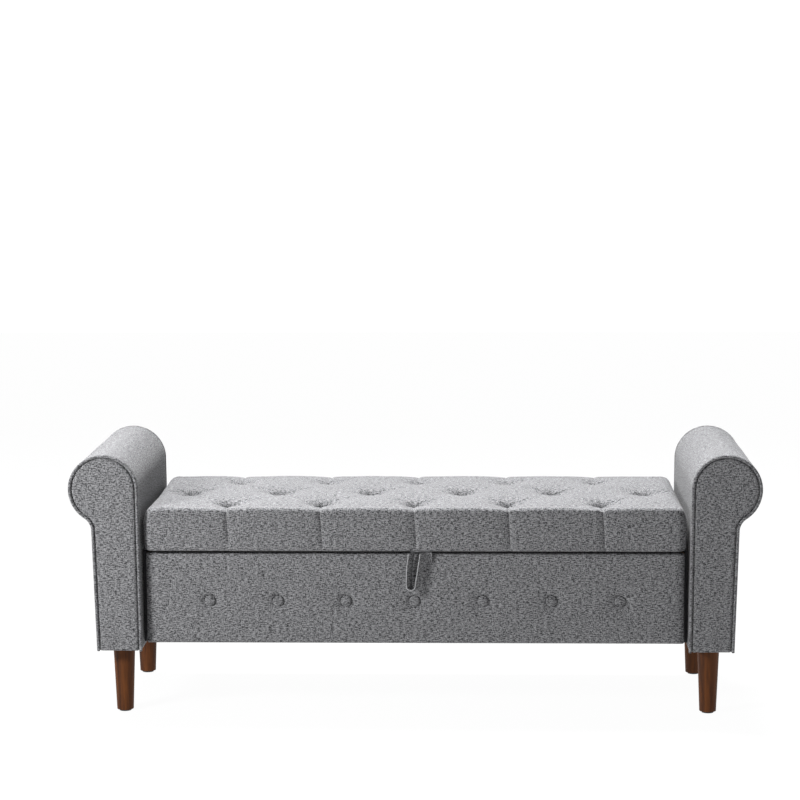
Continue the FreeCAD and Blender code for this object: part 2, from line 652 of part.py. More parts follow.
# ---------------------------------------------------------------- lid struts
def strut_pivot(angle):
    """A strut pivot at an angle from the forward direction about the hinge axis, in degrees."""
    turn = math.radians(angle)
    return Vector(STRUT_X, HINGE_Y - STRUT_RADIUS * math.cos(turn),
                  HINGE_Z + STRUT_RADIUS * math.sin(turn))


# whole degrees and whole millimetres, which is what the joint and the strut are ordered in
STRUT_BOX_ANGLE = -round(math.degrees(math.acos(STRUT_BOX_REACH / STRUT_RADIUS)))
BOX_PIVOT = strut_pivot(STRUT_BOX_ANGLE)
LID_PIVOT = strut_pivot(STRUT_LID_ANGLE)
STRUT_CLOSED = (LID_PIVOT - BOX_PIVOT).Length
TUBE_LENGTH = round(STRUT_CLOSED - TUBE_START - TUBE_MOUTH)
# from the lid pivot to the inner face of the piston
ROD_REACH = round(STRUT_CLOSED - TUBE_START - TUBE_END - PISTON_GAP)


def stud(pivot, plate_x):
    """A stud along X with a collar on the plate's side and a cap, around which an eye turns."""
    inner = pivot.x - STRUT_EYE_WIDTH / 2 - STUD_PLAY
    outer = pivot.x + STRUT_EYE_WIDTH / 2 + STUD_PLAY
    axis = Vector(1, 0, 0)
    cap = rod(Vector(inner - STUD_CAP, pivot.y, pivot.z), axis, STUD_CAP_R, STUD_CAP)
    pin = rod(Vector(inner, pivot.y, pivot.z), axis, STUD_R, outer - inner)
    collar = rod(Vector(outer, pivot.y, pivot.z), axis, STUD_CAP_R, plate_x - outer)
    return [cap, pin, collar]


def box_bracket_screws():
    """Screw places of the right box bracket, as (head, into)."""
    face_x = WELL_X - LINING - BRACKET
    offset = BRACKET_WIDTH / 2 - BRACKET_SCREW_EDGE
    return [(Vector(face_x, BOX_PIVOT.y - BRACKET_SHIFT, BOX_PIVOT.z + side * offset),
             Vector(1, 0, 0)) for side in (-1, 1)]


def box_bracket_screw_holes():
    """The holes of the right box bracket's screws."""
    return [screw_hole(head, into, SCREW_LENGTH) for head, into in box_bracket_screws()]


def lid_bracket_screws():
    """Screw places of the right lid bracket, as (head, into)."""
    z = LID_BOTTOM - BRACKET
    x = STRUT_X + STRUT_WALL_GAP - TAB_GAP - BRACKET_FOOT / 2
    offset = BRACKET_WIDTH / 2 - BRACKET_SCREW_EDGE
    return [(Vector(x, LID_PIVOT.y + side * offset, z), Vector(0, 0, 1)) for side in (-1, 1)]


def lid_bracket_screw_holes():
    """The holes of the right lid bracket's screws."""
    return [screw_hole(head, into, LID_BOARD) for head, into in lid_bracket_screws()]


def make_box_bracket():
    """The plate and stud on the right side board."""
    face_x = WELL_X - LINING - BRACKET
    middle_y = BOX_PIVOT.y - BRACKET_SHIFT
    plate = box(face_x, face_x + BRACKET, middle_y - BRACKET_FOOT / 2,
                middle_y + BRACKET_FOOT / 2, BOX_PIVOT.z - BRACKET_WIDTH / 2,
                BOX_PIVOT.z + BRACKET_WIDTH / 2)
    return cut(fuse([plate] + stud(BOX_PIVOT, face_x)), box_bracket_screw_holes())


def make_lid_bracket():
    """The angle plate and stud under the right side of the lid."""
    tab_x = STRUT_X + STRUT_WALL_GAP - TAB_GAP
    half = BRACKET_WIDTH / 2
    tab = box(tab_x, tab_x + BRACKET, LID_PIVOT.y - half / 2, LID_PIVOT.y + half / 2,
              LID_PIVOT.z - half / 2, LID_BOTTOM)
    foot = box(tab_x + BRACKET - BRACKET_FOOT, tab_x + BRACKET, LID_PIVOT.y - half,
               LID_PIVOT.y + half, LID_BOTTOM - BRACKET, LID_BOTTOM)
    return cut(fuse([foot, tab] + stud(LID_PIVOT, tab_x)), lid_bracket_screw_holes())


def strut_axis(pivot, other):
    """The unit direction from one strut pivot to the other."""
    return (other - pivot).normalize()


def eye(pivot):
    """The ring of a strut's end, around a stud."""
    start = pivot - Vector(STRUT_EYE_WIDTH / 2, 0, 0)
    return rod(start, Vector(1, 0, 0), STRUT_EYE_R, STRUT_EYE_WIDTH)


def eye_bore(pivot):
    """The hole through a strut's eye."""
    return rod(pivot - Vector(STRUT_EYE_WIDTH, 0, 0), Vector(1, 0, 0), STUD_R + PIN_CLEARANCE,
               2 * STRUT_EYE_WIDTH)


def make_strut_cylinder():
    """The right strut's tube, from its closed end at the box to the rod's opening."""
    along = strut_axis(BOX_PIVOT, LID_PIVOT)
    tube = rod(BOX_PIVOT + along * TUBE_START, along, STRUT_TUBE_R, TUBE_LENGTH)
    neck = rod(BOX_PIVOT + along * STRUT_ROOT, along, STRUT_NECK_R,
               TUBE_START - STRUT_ROOT + PAST)
    bore = rod(BOX_PIVOT + along * (TUBE_START + TUBE_END), along, STRUT_BORE_R,
               TUBE_LENGTH - 2 * TUBE_END)
    mouth = rod(BOX_PIVOT + along * (TUBE_START + TUBE_END), along, STRUT_ROD_R + PIN_CLEARANCE,
                TUBE_LENGTH)
    return cut(fuse([eye(BOX_PIVOT), neck, tube]), [bore, mouth, eye_bore(BOX_PIVOT)])


def make_strut_rod():
    """The right strut's rod and piston, from the lid."""
    along = strut_axis(LID_PIVOT, BOX_PIVOT)
    shaft = rod(LID_PIVOT + along * STRUT_ROOT, along, STRUT_ROD_R, ROD_REACH - STRUT_ROOT)
    piston = rod(LID_PIVOT + along * (ROD_REACH - PISTON), along,
                 STRUT_BORE_R - PIN_CLEARANCE, PISTON)
    return fuse([eye(LID_PIVOT), shaft, piston]).cut(eye_bore(LID_PIVOT))


def make_struts():
    """The two struts and their brackets, with the brackets' screws."""
    cylinder, shaft = make_strut_cylinder(), make_strut_rod()
    box_screws = both_ends([screw(head, into, SCREW_LENGTH)
                            for head, into in box_bracket_screws()])
    lid_screws = both_ends([screw(head, into, LID_BOARD)
                            for head, into in lid_bracket_screws()])
    return {
        "strut_box_brackets": group(both_ends([make_box_bracket()])),
        "strut_lid_brackets": group(both_ends([make_lid_bracket()])),
        "strut_cylinder_right": cylinder,
        "strut_cylinder_left": mirrored(cylinder),
        "strut_rod_right": shaft,
        "strut_rod_left": mirrored(shaft),
    }, box_screws, lid_screws


# ---------------------------------------------------------------- lid
def lid_block(inset, z0, z1, rounded_top):
    """A slab of the lid's outline, with its upright corners rounded."""
    slab = box(-LID_X + inset, LID_X - inset, LID_FRONT + inset, BACK_Y - inset, z0, z1)
    slab = round_edges(slab, max(LID_CORNER_R - inset, SMALLEST_FILLET), is_vertical)
    if not rounded_top:
        return slab
    return round_edges(slab, LID_EDGE_R - inset, lambda edge: edge.BoundBox.ZMin > z1 - 0.1)


def tuft_places():
    """Every tuft as (x, y)."""
    places = []
    middle_y = (LID_FRONT + BACK_Y) / 2 + TUFT_ROW_SHIFT
    for row, count in TUFT_ROWS:
        y = middle_y + row * TUFT_ROW_PITCH
        places += [((i - (count - 1) / 2) * TUFT_PITCH, y) for i in range(count)]
    return places


def make_tuft_tie(x, y):
    """A clasp down in the foam, its twine and the washer that holds it under the board."""
    clasp = rod(Vector(x, y, TUFT_CLASP_Z - TUFT_CLASP), Vector(0, 0, 1), TUFT_CLASP_R,
                TUFT_CLASP)
    twine = rod(Vector(x, y, LID_BOARD_Z), Vector(0, 0, 1), TWINE_R,
                TUFT_CLASP_Z - LID_BOARD_Z - TUFT_CLASP)
    washer = rod(Vector(x, y, LID_BOARD_Z), Vector(0, 0, 1), TUFT_WASHER_R, TUFT_CLASP)
    return fuse([clasp, twine, washer])


def lid_fastener_holes():
    """The screw holes in the underside of the lid."""
    hinge = [screw_hole(Vector(x, HINGE_SCREW_Y, HINGE_Z + LEAF_NEAR), Vector(0, 0, 1),
                        LID_BOARD) for x in hinge_screw_xs()]
    return hinge + both_ends(lid_bracket_screw_holes())


def make_lid():
    """Board, foam, covers and tuft ties of the lid."""
    holes = lid_fastener_holes()
    board_holes = []
    foam_holes = []
    for x, y in tuft_places():
        foot = Vector(x, y, LID_BOARD_Z)
        board_holes.append(rod(foot, Vector(0, 0, 1), TUFT_WASHER_R + FIT_GAP,
                               TUFT_CLASP + FIT_GAP))
        board_holes.append(rod(foot, Vector(0, 0, 1), TWINE_R + FIT_GAP, LID_BOARD))
        foam_holes.append(rod(foot, Vector(0, 0, 1), TUFT_HOLE_R, LID_THICKNESS))
    board = cut(lid_block(COVER, LID_BOARD_Z, LID_FOAM_Z, False), board_holes + holes)
    foam = cut(lid_block(COVER, LID_FOAM_Z, SEAT_HEIGHT - COVER, True), foam_holes)
    filling = lid_block(COVER, LID_BOARD_Z, SEAT_HEIGHT - COVER, True)
    window = lid_block(LID_HEM, LID_BOTTOM - PAST, LID_BOARD_Z + PAST, False)
    cover = cut(lid_block(0, LID_BOTTOM, SEAT_HEIGHT, True), [filling, window] + holes)
    lining = lid_block(LID_HEM + FIT_GAP, LID_BOARD_Z - LINING, LID_BOARD_Z, False)
    anchor = box(STRAP_X - STRAP_TAPE - STRAP_ROOT_GAP / 2,
                 STRAP_X + STRAP_TAPE + STRAP_ROOT_GAP / 2, STRAP_AXIS_Y + FIT_GAP,
                 LID_FRONT + STRAP_IN_LID, ANCHOR_BOTTOM, LID_BOTTOM)
    return {
        "lid_board": board,
        "lid_foam": foam,
        "lid_cover": cover,
        "lid_lining": lining,
        "tuft_ties": group([make_tuft_tie(x, y) for x, y in tuft_places()]),
        "strap_anchor": anchor,
    }


# ---------------------------------------------------------------- pull strap
def strap_outline(inset):
    """The loop seen from the front, as a closed wire of two sides, a round bottom and a top."""
    top = STRAP_AXIS_Z - inset
    turn = math.radians(STRAP_TURN)
    shift = STRAP_TAPE * math.sin(turn)
    half = STRAP_BULGE / 2 - inset
    root_x = STRAP_X - shift / 2
    low_x = root_x - STRAP_LEAN
    low_z = STRAP_AXIS_Z - STRAP_DROP + STRAP_BULGE / 2
    y = STRAP_AXIS_Y - STRAP_FRONT_GAP - STRAP_TAPE * math.cos(turn)
    corners = [Vector(root_x - half, y, top), Vector(low_x - half, y, low_z),
               Vector(low_x, y, low_z - half), Vector(low_x + half, y, low_z),
               Vector(root_x + half, y, top)]
    return Part.Wire([Part.LineSegment(corners[0], corners[1]).toShape(),
                      Part.Arc(corners[1], corners[2], corners[3]).toShape(),
                      Part.LineSegment(corners[3], corners[4]).toShape(),
                      Part.LineSegment(corners[4], corners[0]).toShape()])


def make_pull_strap():
    """The hanging loop of tape, its width turned part way towards the side."""
    turn = math.radians(STRAP_TURN)
    width = Vector(STRAP_TAPE * math.sin(turn), STRAP_TAPE * math.cos(turn), 0)
    face_thickness = STRAP_THICKNESS / math.cos(turn)
    outside = Part.Face(strap_outline(0)).extrude(width)
    inside = Part.Face(strap_outline(face_thickness)).extrude(width)
    return outside.cut(inside)


# ---------------------------------------------------------------- assembly
def make_legs():
    """Four legs with their glides and hanger bolts."""
    pieces = {}
    for name, y in (("front", -LEG_Y), ("rear", LEG_Y)):
        leg = make_leg(y)
        pieces[f"leg_{name}_right"] = leg
        pieces[f"leg_{name}_left"] = mirrored(leg)
    glides = [rod(Vector(LEG_X, y, 0), Vector(0, 0, 1), GLIDE_R, GLIDE_HEIGHT)
              for y in leg_places()]
    pieces["foot_glides"] = group(both_ends(glides))
    pieces["leg_hanger_bolts"] = group(both_ends([make_hanger_bolt(y) for y in leg_places()]))
    return pieces


def make_bench():
    """Every node of the bench by name."""
    nodes = {}
    for name, shape in make_arm().items():
        nodes[f"arm_right_{name}"] = shape
        nodes[f"arm_left_{name}"] = mirrored(shape)
    nodes.update(make_box())
    nodes.update(make_lid())
    hinges, box_screws, lid_screws = make_hinges()
    struts, strut_box_screws, strut_lid_screws = make_struts()
    nodes.update(hinges)
    nodes.update(struts)
    nodes.update(make_legs())
    corner_screws = [screw(head, Vector(0, 1, 0), CORNER_SCREW_LENGTH)
                     for head in front_screws()]
    nodes["box_screws"] = group(box_screws + strut_box_screws + corner_screws)
    nodes["lid_screws"] = group(lid_screws + strut_lid_screws)
    nodes["arm_bolts"] = group(both_ends([make_arm_bolt(y, z) for y, z in arm_bolt_places()]))
    nodes["tee_nuts"] = group(both_ends([tee_nut(face, into) for face, into in tee_places()]))
    nodes["pull_strap"] = make_pull_strap()
    return nodes


def main():
    """Build the bench and write one STEP file for each node."""
    os.makedirs("parts", exist_ok=True)
    nodes = make_bench()
    for name in sorted(nodes):
        shape = nodes[name]
        solids = shape.Solids
        if not solids or not all(solid.isValid() for solid in solids):
            raise ValueError(f"{name} is not made of valid solids")
        shape.exportStep(f"parts/{name}.step")
    print(len(nodes), "nodes,", sum(len(shape.Solids) for shape in nodes.values()), "solids")
    hinge = (0.0, HINGE_Y, HINGE_Z)
    print("hinge axis", hinge, "strut pivots", tuple(BOX_PIVOT), tuple(LID_PIVOT))
    print("strap axis", (STRAP_X, STRAP_AXIS_Y, STRAP_AXIS_Z), "opens", OPEN_ANGLE)


main()
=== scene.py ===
"""An upholstered storage bench: rolled arms, a tufted lid, a buttoned front and turned legs.

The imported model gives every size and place. The soft pieces are made here over its boards,
and its hard pieces keep their shape and get their finishes.
"""

import logging
import math
from dataclasses import dataclass, field
from enum import Enum
from typing import Any, Callable

import bmesh
import bpy
import numpy as np
from mathutils import Matrix, Vector


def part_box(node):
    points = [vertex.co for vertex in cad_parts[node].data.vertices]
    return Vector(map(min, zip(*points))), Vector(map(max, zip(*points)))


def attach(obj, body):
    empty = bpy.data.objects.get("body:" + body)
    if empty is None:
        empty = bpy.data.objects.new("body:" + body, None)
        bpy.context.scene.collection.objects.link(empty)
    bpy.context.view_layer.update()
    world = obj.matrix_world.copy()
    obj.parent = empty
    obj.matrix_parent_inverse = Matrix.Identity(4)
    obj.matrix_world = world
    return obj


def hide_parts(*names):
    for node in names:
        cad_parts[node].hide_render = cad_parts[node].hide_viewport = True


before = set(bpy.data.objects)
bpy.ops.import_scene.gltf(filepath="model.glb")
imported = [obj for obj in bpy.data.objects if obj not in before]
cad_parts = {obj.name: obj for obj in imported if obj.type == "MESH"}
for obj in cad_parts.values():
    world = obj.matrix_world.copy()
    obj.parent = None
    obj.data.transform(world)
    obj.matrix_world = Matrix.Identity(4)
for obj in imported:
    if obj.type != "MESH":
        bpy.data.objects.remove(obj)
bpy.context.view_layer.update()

MM = 0.001
WEAVE_MAP = "weave"

Colour = tuple[float, float, float]
Piece = bpy.types.Object
log = logging.getLogger("bench")


class Slot(Enum):
    """The record's material slots that the modelled pieces take."""

    SEAT = "seat_cloth"
    PANEL = "panel_cloth"
    BUTTON = "button_cloth"
    ARM = "arm_cloth"
    FACING = "facing_cloth"
    WELT = "welt_cloth"
    LINING = "lining_cloth"
    TAPE = "tape"


# ---------------------------------------------------------------- shader maths
class Socket:
    """The output of a shader node, which Python arithmetic turns into Math nodes."""

    def __init__(self, shader: "Shader", output: bpy.types.NodeSocket) -> None:
        """Keep the node's output and the shader it belongs to."""
        self.shader = shader
        self.output = output

    def _math(self, operation: str, *values: "Socket | float") -> "Socket":
        """A Math node of one operation on the values."""
        return self.shader.node("ShaderNodeMath", {"operation": operation}, dict(enumerate(values)))

    def __add__(self, other: "Socket | float") -> "Socket":
        """Sum."""
        return self._math("ADD", self, other)

    def __sub__(self, other: "Socket | float") -> "Socket":
        """Difference."""
        return self._math("SUBTRACT", self, other)

    def __mul__(self, other: "Socket | float") -> "Socket":
        """Product."""
        return self._math("MULTIPLY", self, other)

    __radd__ = __add__
    __rmul__ = __mul__

    def wave(self, pitch: float) -> "Socket":
        """A sine of the value that repeats at each pitch."""
        return self._math("SINE", self * (2 * math.pi / pitch))


class Shader:
    """One material's node tree around its Principled surface."""

    def __init__(self, name: str, constants: dict[str, Any]) -> None:
        """Start a material.

        Args:
            name: The material's name.
            constants: Principled sockets that are the same all over, with their values.
        """
        self.material = bpy.data.materials.new(name)
        self.material.use_nodes = True
        self.tree = self.material.node_tree
        self.surface = next(n for n in self.tree.nodes if n.type == "BSDF_PRINCIPLED")
        for label, value in constants.items():
            self.surface.inputs[label].default_value = value

    def join(self, value: "Socket | float | tuple", target: bpy.types.NodeSocket) -> None:
        """Link a socket to an input, or set the input to a plain value."""
        if isinstance(value, Socket):
            self.tree.links.new(value.output, target)
        else:
            target.default_value = value

    def node(self, kind: str, settings: dict | None = None, inputs: dict | None = None,
             output: int | str = 0) -> Socket:
        """Add a node.

        Args:
            kind: The node's type.
            settings: Its properties, or "stops" for a ramp's list of place and colour.
            inputs: Values or links of its sockets.
            output: Which output to return.

        Returns:
            The chosen output.
        """
        made = self.tree.nodes.new(kind)
        for key, value in (settings or {}).items():
            if key == "stops":
                for number, (place, colour) in enumerate(value):
                    elements = made.color_ramp.elements
                    stop = elements[number] if number < len(elements) else elements.new(place)
                    stop.position = place
                    stop.color = (*colour, 1.0)
            else:
                setattr(made, key, value)
        for key, value in (inputs or {}).items():
            self.join(value, made.inputs[key])
        return Socket(self, made.outputs[output])

    def noise(self, vector: Socket, scale: float, detail: float = 2.0) -> Socket:
        """A noise texture's value at a vector."""
        return self.node("ShaderNodeTexNoise", {},
                         {"Vector": vector, "Scale": scale, "Detail": detail})

    def stretched(self, vector: Socket, scale: tuple[float, float, float]) -> Socket:
        """The vector with each axis scaled."""
        return self.node("ShaderNodeMapping", {}, {"Vector": vector, "Scale": scale})

    def place(self) -> Socket:
        """The place on the piece in metres, in the frame's axes."""
        return self.node("ShaderNodeTexCoord", output="Object")

    def ramp(self, factor: Socket, stops: list[tuple[float, Colour]]) -> Socket:
        """A colour ramp with its stops."""
        return self.node("ShaderNodeValToRGB", {"stops": stops}, {"Fac": factor})

    def relief(self, height: Socket, strength: float, distance: float) -> None:
        """Raise the surface by a bump."""
        bump = self.node("ShaderNodeBump", {},
                         {"Height": height, "Strength": strength, "Distance": distance})
        self.join(bump, self.surface.inputs["Normal"])

    def colour(self, value: Socket) -> None:
        """Set the surface's colour."""
        self.join(value, self.surface.inputs["Base Color"])

    def roughness(self, value: Socket) -> None:
        """Set the surface's roughness."""
        self.join(value, self.surface.inputs["Roughness"])


# ---------------------------------------------------------------- finishes
@dataclass(frozen=True)
class Melange:
    """Upholstery linen woven from flecked grey yarn."""

    name: str
    dark: Colour = (0.028, 0.028, 0.030)
    light: Colour = (0.265, 0.266, 0.275)
    yarn: float = 1.3 * MM
    slub: float = 8 * MM
    fleck: float = 2.5 * MM
    contrast: float = 0.09
    relief: float = 0.5 * MM
    shares: tuple[float, float, float, float] = (0.45, 0.22, 0.45, 0.06)

    def build(self) -> bpy.types.Material:
        """Make the material."""
        shader = Shader(self.name, {"Roughness": 0.92, "Sheen Weight": 0.08, "Sheen Roughness": 0.5,
                                    "Specular IOR Level": 0.2})
        lie = shader.node("ShaderNodeUVMap", {"uv_map": WEAVE_MAP})
        thin, long = 1 / (1.7 * self.yarn), 1 / self.slub
        weft = shader.noise(shader.stretched(lie, (long, thin, 1.0)), 1.0, 1.0)
        warp = shader.noise(shader.stretched(lie, (thin, long, 1.0)), 1.0, 1.0)
        fleck = shader.noise(lie, 1 / self.fleck, 3.0)
        patch = shader.noise(lie, 1 / (9 * self.fleck), 2.0)
        weft_share, warp_share, fleck_share, patch_share = self.shares
        tone = weft * weft_share + warp * warp_share + fleck * fleck_share + patch * patch_share
        middle = sum(self.shares) / 2
        shader.colour(shader.ramp(tone, [(middle - self.contrast, self.dark),
                                         (middle + self.contrast, self.light)]))
        along = shader.node("ShaderNodeSeparateXYZ", {}, {"Vector": lie}, "X")
        across = shader.node("ShaderNodeSeparateXYZ", {}, {"Vector": lie}, "Y")
        weave = along.wave(2 * self.yarn) * across.wave(2 * self.yarn)
        shader.relief(weave * 0.35 + weft * 0.9 + warp * 0.9, 0.7, self.relief)
        return shader.material


@dataclass(frozen=True)
class Grain:
    """Wood, or board made from it, with its grain along one axis."""

    name: str
    dark: Colour
    light: Colour
    stretch: tuple[float, float, float]
    gloss: float = 0.5
    coat: float = 0.0
    plies: tuple[float, float, float] = (0.0, 0.0, 0.0)

    def build(self) -> bpy.types.Material:
        """Make the material."""
        shader = Shader(self.name, {"Coat Weight": self.coat, "Coat Roughness": 0.25,
                                    "Specular IOR Level": 0.15})
        place = shader.place()
        streak = shader.noise(shader.stretched(place, self.stretch), 1.0, 5.0)
        pore = shader.noise(shader.stretched(place, tuple(4 * s for s in self.stretch)), 1.0, 3.0)
        tone = streak * 0.75 + pore * 0.3
        for label, count in zip("XYZ", self.plies):
            if count:
                part = shader.node("ShaderNodeSeparateXYZ", {}, {"Vector": place}, label)
                tone = tone + part.wave(1 / count) * 0.06
        shader.colour(shader.ramp(tone, [(0.34, self.dark), (0.7, self.light)]))
        shader.roughness(self.gloss + pore * 0.2)
        shader.relief(pore, 0.25, 0.3 * MM)
        return shader.material


@dataclass(frozen=True)
class Speckled:
    """A finish that is one tone with fine irregular marks."""

    name: str
    dark: Colour
    light: Colour
    mark: float = 1.5 * MM
    rough: float = 0.6
    metal: float = 0.0
    relief: float = 0.1 * MM
    coat: float = 0.0

    def build(self) -> bpy.types.Material:
        """Make the material."""
        shader = Shader(self.name, {"Metallic": self.metal, "Coat Weight": self.coat})
        place = shader.place()
        fine = shader.noise(place, 1 / self.mark, 4.0)
        broad = shader.noise(place, 1 / (20 * self.mark), 2.0)
        shader.colour(shader.ramp(fine * 0.6 + broad * 0.4, [(0.35, self.dark), (0.65, self.light)]))
        shader.roughness(self.rough - 0.1 + fine * 0.2)
        shader.relief(fine, 0.4, self.relief)
        return shader.material


@dataclass(frozen=True)
class Webbing:
    """Woven tape or non-woven lining with a small crossed rib."""

    name: str
    dark: Colour
    light: Colour
    rib: float = 1.2 * MM
    relief: float = 0.3 * MM

    def build(self) -> bpy.types.Material:
        """Make the material."""
        shader = Shader(self.name, {"Roughness": 0.9, "Sheen Weight": 0.2})
        place = shader.place()
        parts = [shader.node("ShaderNodeSeparateXYZ", {}, {"Vector": place}, label) for label in "XYZ"]
        rib = (parts[0] + parts[1]).wave(self.rib) * parts[2].wave(self.rib)
        flat = (parts[0] + parts[1]).wave(self.rib) * (parts[0] - parts[1]).wave(self.rib)
        fibre = shader.noise(place, 1 / (2 * self.rib), 3.0)
        tone = fibre * 0.8 + (rib + flat) * 0.08 + 0.1
        shader.colour(shader.ramp(tone, [(0.3, self.dark), (0.72, self.light)]))
        shader.relief(rib + flat + fibre, 0.5, self.relief)
        return shader.material


class MaterialShop:
    """Makes each finish once and hands it out by the record's slot."""

    PLY = 1 / (3.0 * MM)
    LONG_GRAIN, CROSS_GRAIN = 3.0, 55.0

    def __init__(self) -> None:
        """Start with no material made."""
        self.made: dict[str, bpy.types.Material] = {}

    def finish(self, slot: str, thin: int) -> Any:
        """The finish of a slot.

        Args:
            slot: The record's material slot.
            thin: The axis that a board is thinnest along.

        Returns:
            The finish, ready to build.
        """
        long_axis = 0 if thin else 2
        stretch = tuple(self.LONG_GRAIN if axis == long_axis else self.CROSS_GRAIN for axis in range(3))
        plies = tuple(self.PLY if axis == thin else 0.0 for axis in range(3))
        name = f"{slot}_{'xyz'[thin]}"
        if slot == "plywood":
            return Grain(name, (0.33, 0.2, 0.1), (0.62, 0.45, 0.27), stretch, plies=plies)
        if slot == "softwood":
            return Grain(name, (0.42, 0.27, 0.13), (0.7, 0.52, 0.32), stretch)
        if slot == "fibreboard":
            return Speckled(name, (0.13, 0.08, 0.045), (0.25, 0.16, 0.09), rough=0.75)
        if slot == "leg_wood":
            return Grain(slot, (0.034, 0.0105, 0.0035), (0.108, 0.034, 0.0075), (60.0, 60.0, 5.0),
                         gloss=0.45)
        return {
            "steel": Speckled(slot, (0.5, 0.5, 0.49), (0.72, 0.72, 0.7), 0.8 * MM, 0.38, 1.0,
                              0.03 * MM),
            "rod_steel": Speckled(slot, (0.74, 0.74, 0.75), (0.84, 0.84, 0.85), 0.4 * MM, 0.16, 1.0,
                                  0.005 * MM),
            "strut_paint": Speckled(slot, (0.008, 0.008, 0.009), (0.02, 0.02, 0.022), 1 * MM, 0.32,
                                    coat=0.3, relief=0.02 * MM),
            "glide_plastic": Speckled(slot, (0.012, 0.012, 0.012), (0.035, 0.035, 0.035), rough=0.5),
            "bumper_rubber": Speckled(slot, (0.014, 0.014, 0.014), (0.03, 0.03, 0.03), rough=0.8),
            "lining_cloth": Webbing(slot, (0.012, 0.012, 0.014), (0.05, 0.05, 0.055)),
            "tape": Webbing(slot, (0.2, 0.202, 0.208), (0.52, 0.525, 0.54)),
            "foam": Speckled(slot, (0.6, 0.52, 0.3), (0.75, 0.67, 0.42), 1.2 * MM, 0.9),
        }.get(slot) or Melange(slot)

    def hand_out(self, slot: str, thin: int = 2) -> bpy.types.Material:
        """The material of a slot, made the first time it is asked for."""
        finish = self.finish(slot, thin)
        if finish.name not in self.made:
            self.made[finish.name] = finish.build()
        return self.made[finish.name]

    def dress_frame(self) -> None:
        """Give every hard node of the frame its finish."""
        for name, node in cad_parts.items():
            low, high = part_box(name)
            size = high - low
            thin = min(range(3), key=lambda axis: size[axis])
            for number, material in enumerate(node.data.materials):
                node.data.materials[number] = self.hand_out(material.name.split(".")[0], thin)
            log.info("dressed %s", name)


# ---------------------------------------------------------------- hand modelling
def clear_selection() -> None:
    """Go back to object mode with nothing selected."""
    if bpy.context.object and bpy.context.object.mode != "OBJECT":
        bpy.ops.object.mode_set(mode="OBJECT")
    bpy.ops.object.select_all(action="DESELECT")


def pick(*pieces: Piece) -> None:
    """Select just these pieces, with the first one active."""
    clear_selection()
    for piece in pieces:
        piece.select_set(True)
    bpy.context.view_layer.objects.active = pieces[0]


def edit_all(piece: Piece) -> None:
    """Enter edit mode with the whole piece selected."""
    pick(piece)
    bpy.ops.object.mode_set(mode="EDIT")
    bpy.ops.mesh.select_all(action="SELECT")


def leave_edit() -> None:
    """Go back to object mode."""
    bpy.ops.object.mode_set(mode="OBJECT")


def add_block(name: str, low: Vector, high: Vector) -> Piece:
    """A block between two corners, the start of a piece."""
    clear_selection()
    bpy.ops.mesh.primitive_cube_add(size=1, location=(low + high) / 2, scale=high - low)
    piece = bpy.context.object
    piece.name = piece.data.name = name
    bpy.ops.object.transform_apply(location=True, rotation=True, scale=True)
    return piece


def select(piece: Piece, kind: str, wanted: Callable[[Vector, Vector], bool]) -> None:
    """Enter edit mode with the wanted edges or faces selected.

    Args:
        piece: The piece.
        kind: EDGE or FACE.
        wanted: Whether to take the one with this middle, and this direction or normal.
    """
    edit_all(piece)
    bpy.ops.mesh.select_mode(type=kind)
    bpy.ops.mesh.select_all(action="DESELECT")
    mesh = bmesh.from_edit_mesh(piece.data)
    if kind == "EDGE":
        for edge in mesh.edges:
            first, second = (corner.co for corner in edge.verts)
            edge.select_set(bool(wanted((first + second) / 2, (second - first).normalized())))
    else:
        for face in mesh.faces:
            face.select_set(bool(wanted(face.calc_center_median(), face.normal)))
    bmesh.update_edit_mesh(piece.data)


def bevel(piece: Piece, wanted: Callable[[Vector, Vector], bool], width: float, segments: int) -> None:
    """Round the wanted edges."""
    select(piece, "EDGE", wanted)
    bpy.ops.mesh.bevel(offset=width, segments=segments, affect="EDGES")
    leave_edit()


def push(move: Vector) -> None:
    """Extrude what is selected in edit mode."""
    bpy.ops.mesh.extrude_region_move(TRANSFORM_OT_translate={"value": move})


def apply_modifier(piece: Piece, kind: str, **settings: Any) -> None:
    """Add a modifier with its settings and apply it."""
    pick(piece)
    modifier = piece.modifiers.new(kind.lower(), kind)
    for key, value in settings.items():
        setattr(modifier, key, value)
    bpy.ops.object.modifier_apply(modifier=modifier.name)


def remesh(piece: Piece, size: float) -> None:
    """Rebuild the surface as even quads."""
    apply_modifier(piece, "REMESH", mode="VOXEL", voxel_size=size)


def subdivide(piece: Piece, levels: int = 1) -> None:
    """Smooth the surface into smaller quads."""
    apply_modifier(piece, "SUBSURF", levels=levels, render_levels=levels)


def read(piece: Piece, what: str = "co") -> np.ndarray:
    """The points, or the normals, of a piece as rows of three."""
    values = np.empty(3 * len(piece.data.vertices))
    piece.data.vertices.foreach_get(what, values)
    return values.reshape(-1, 3)


def write(piece: Piece, points: np.ndarray) -> None:
    """Move the points of a piece."""
    piece.data.vertices.foreach_set("co", points.astype(np.float32).ravel())
    piece.data.update()


def finish_cloth(piece: Piece, angle: float = 65.0) -> None:
    """Shade a cloth piece smooth and lay the weave over it in metres."""
    edit_all(piece)
    bpy.ops.mesh.normals_make_consistent(inside=False)
    bpy.ops.uv.cube_project(cube_size=1.0, correct_aspect=False)
    leave_edit()
    piece.data.uv_layers[0].name = WEAVE_MAP
    bpy.ops.object.shade_smooth_by_angle(angle=math.radians(angle))


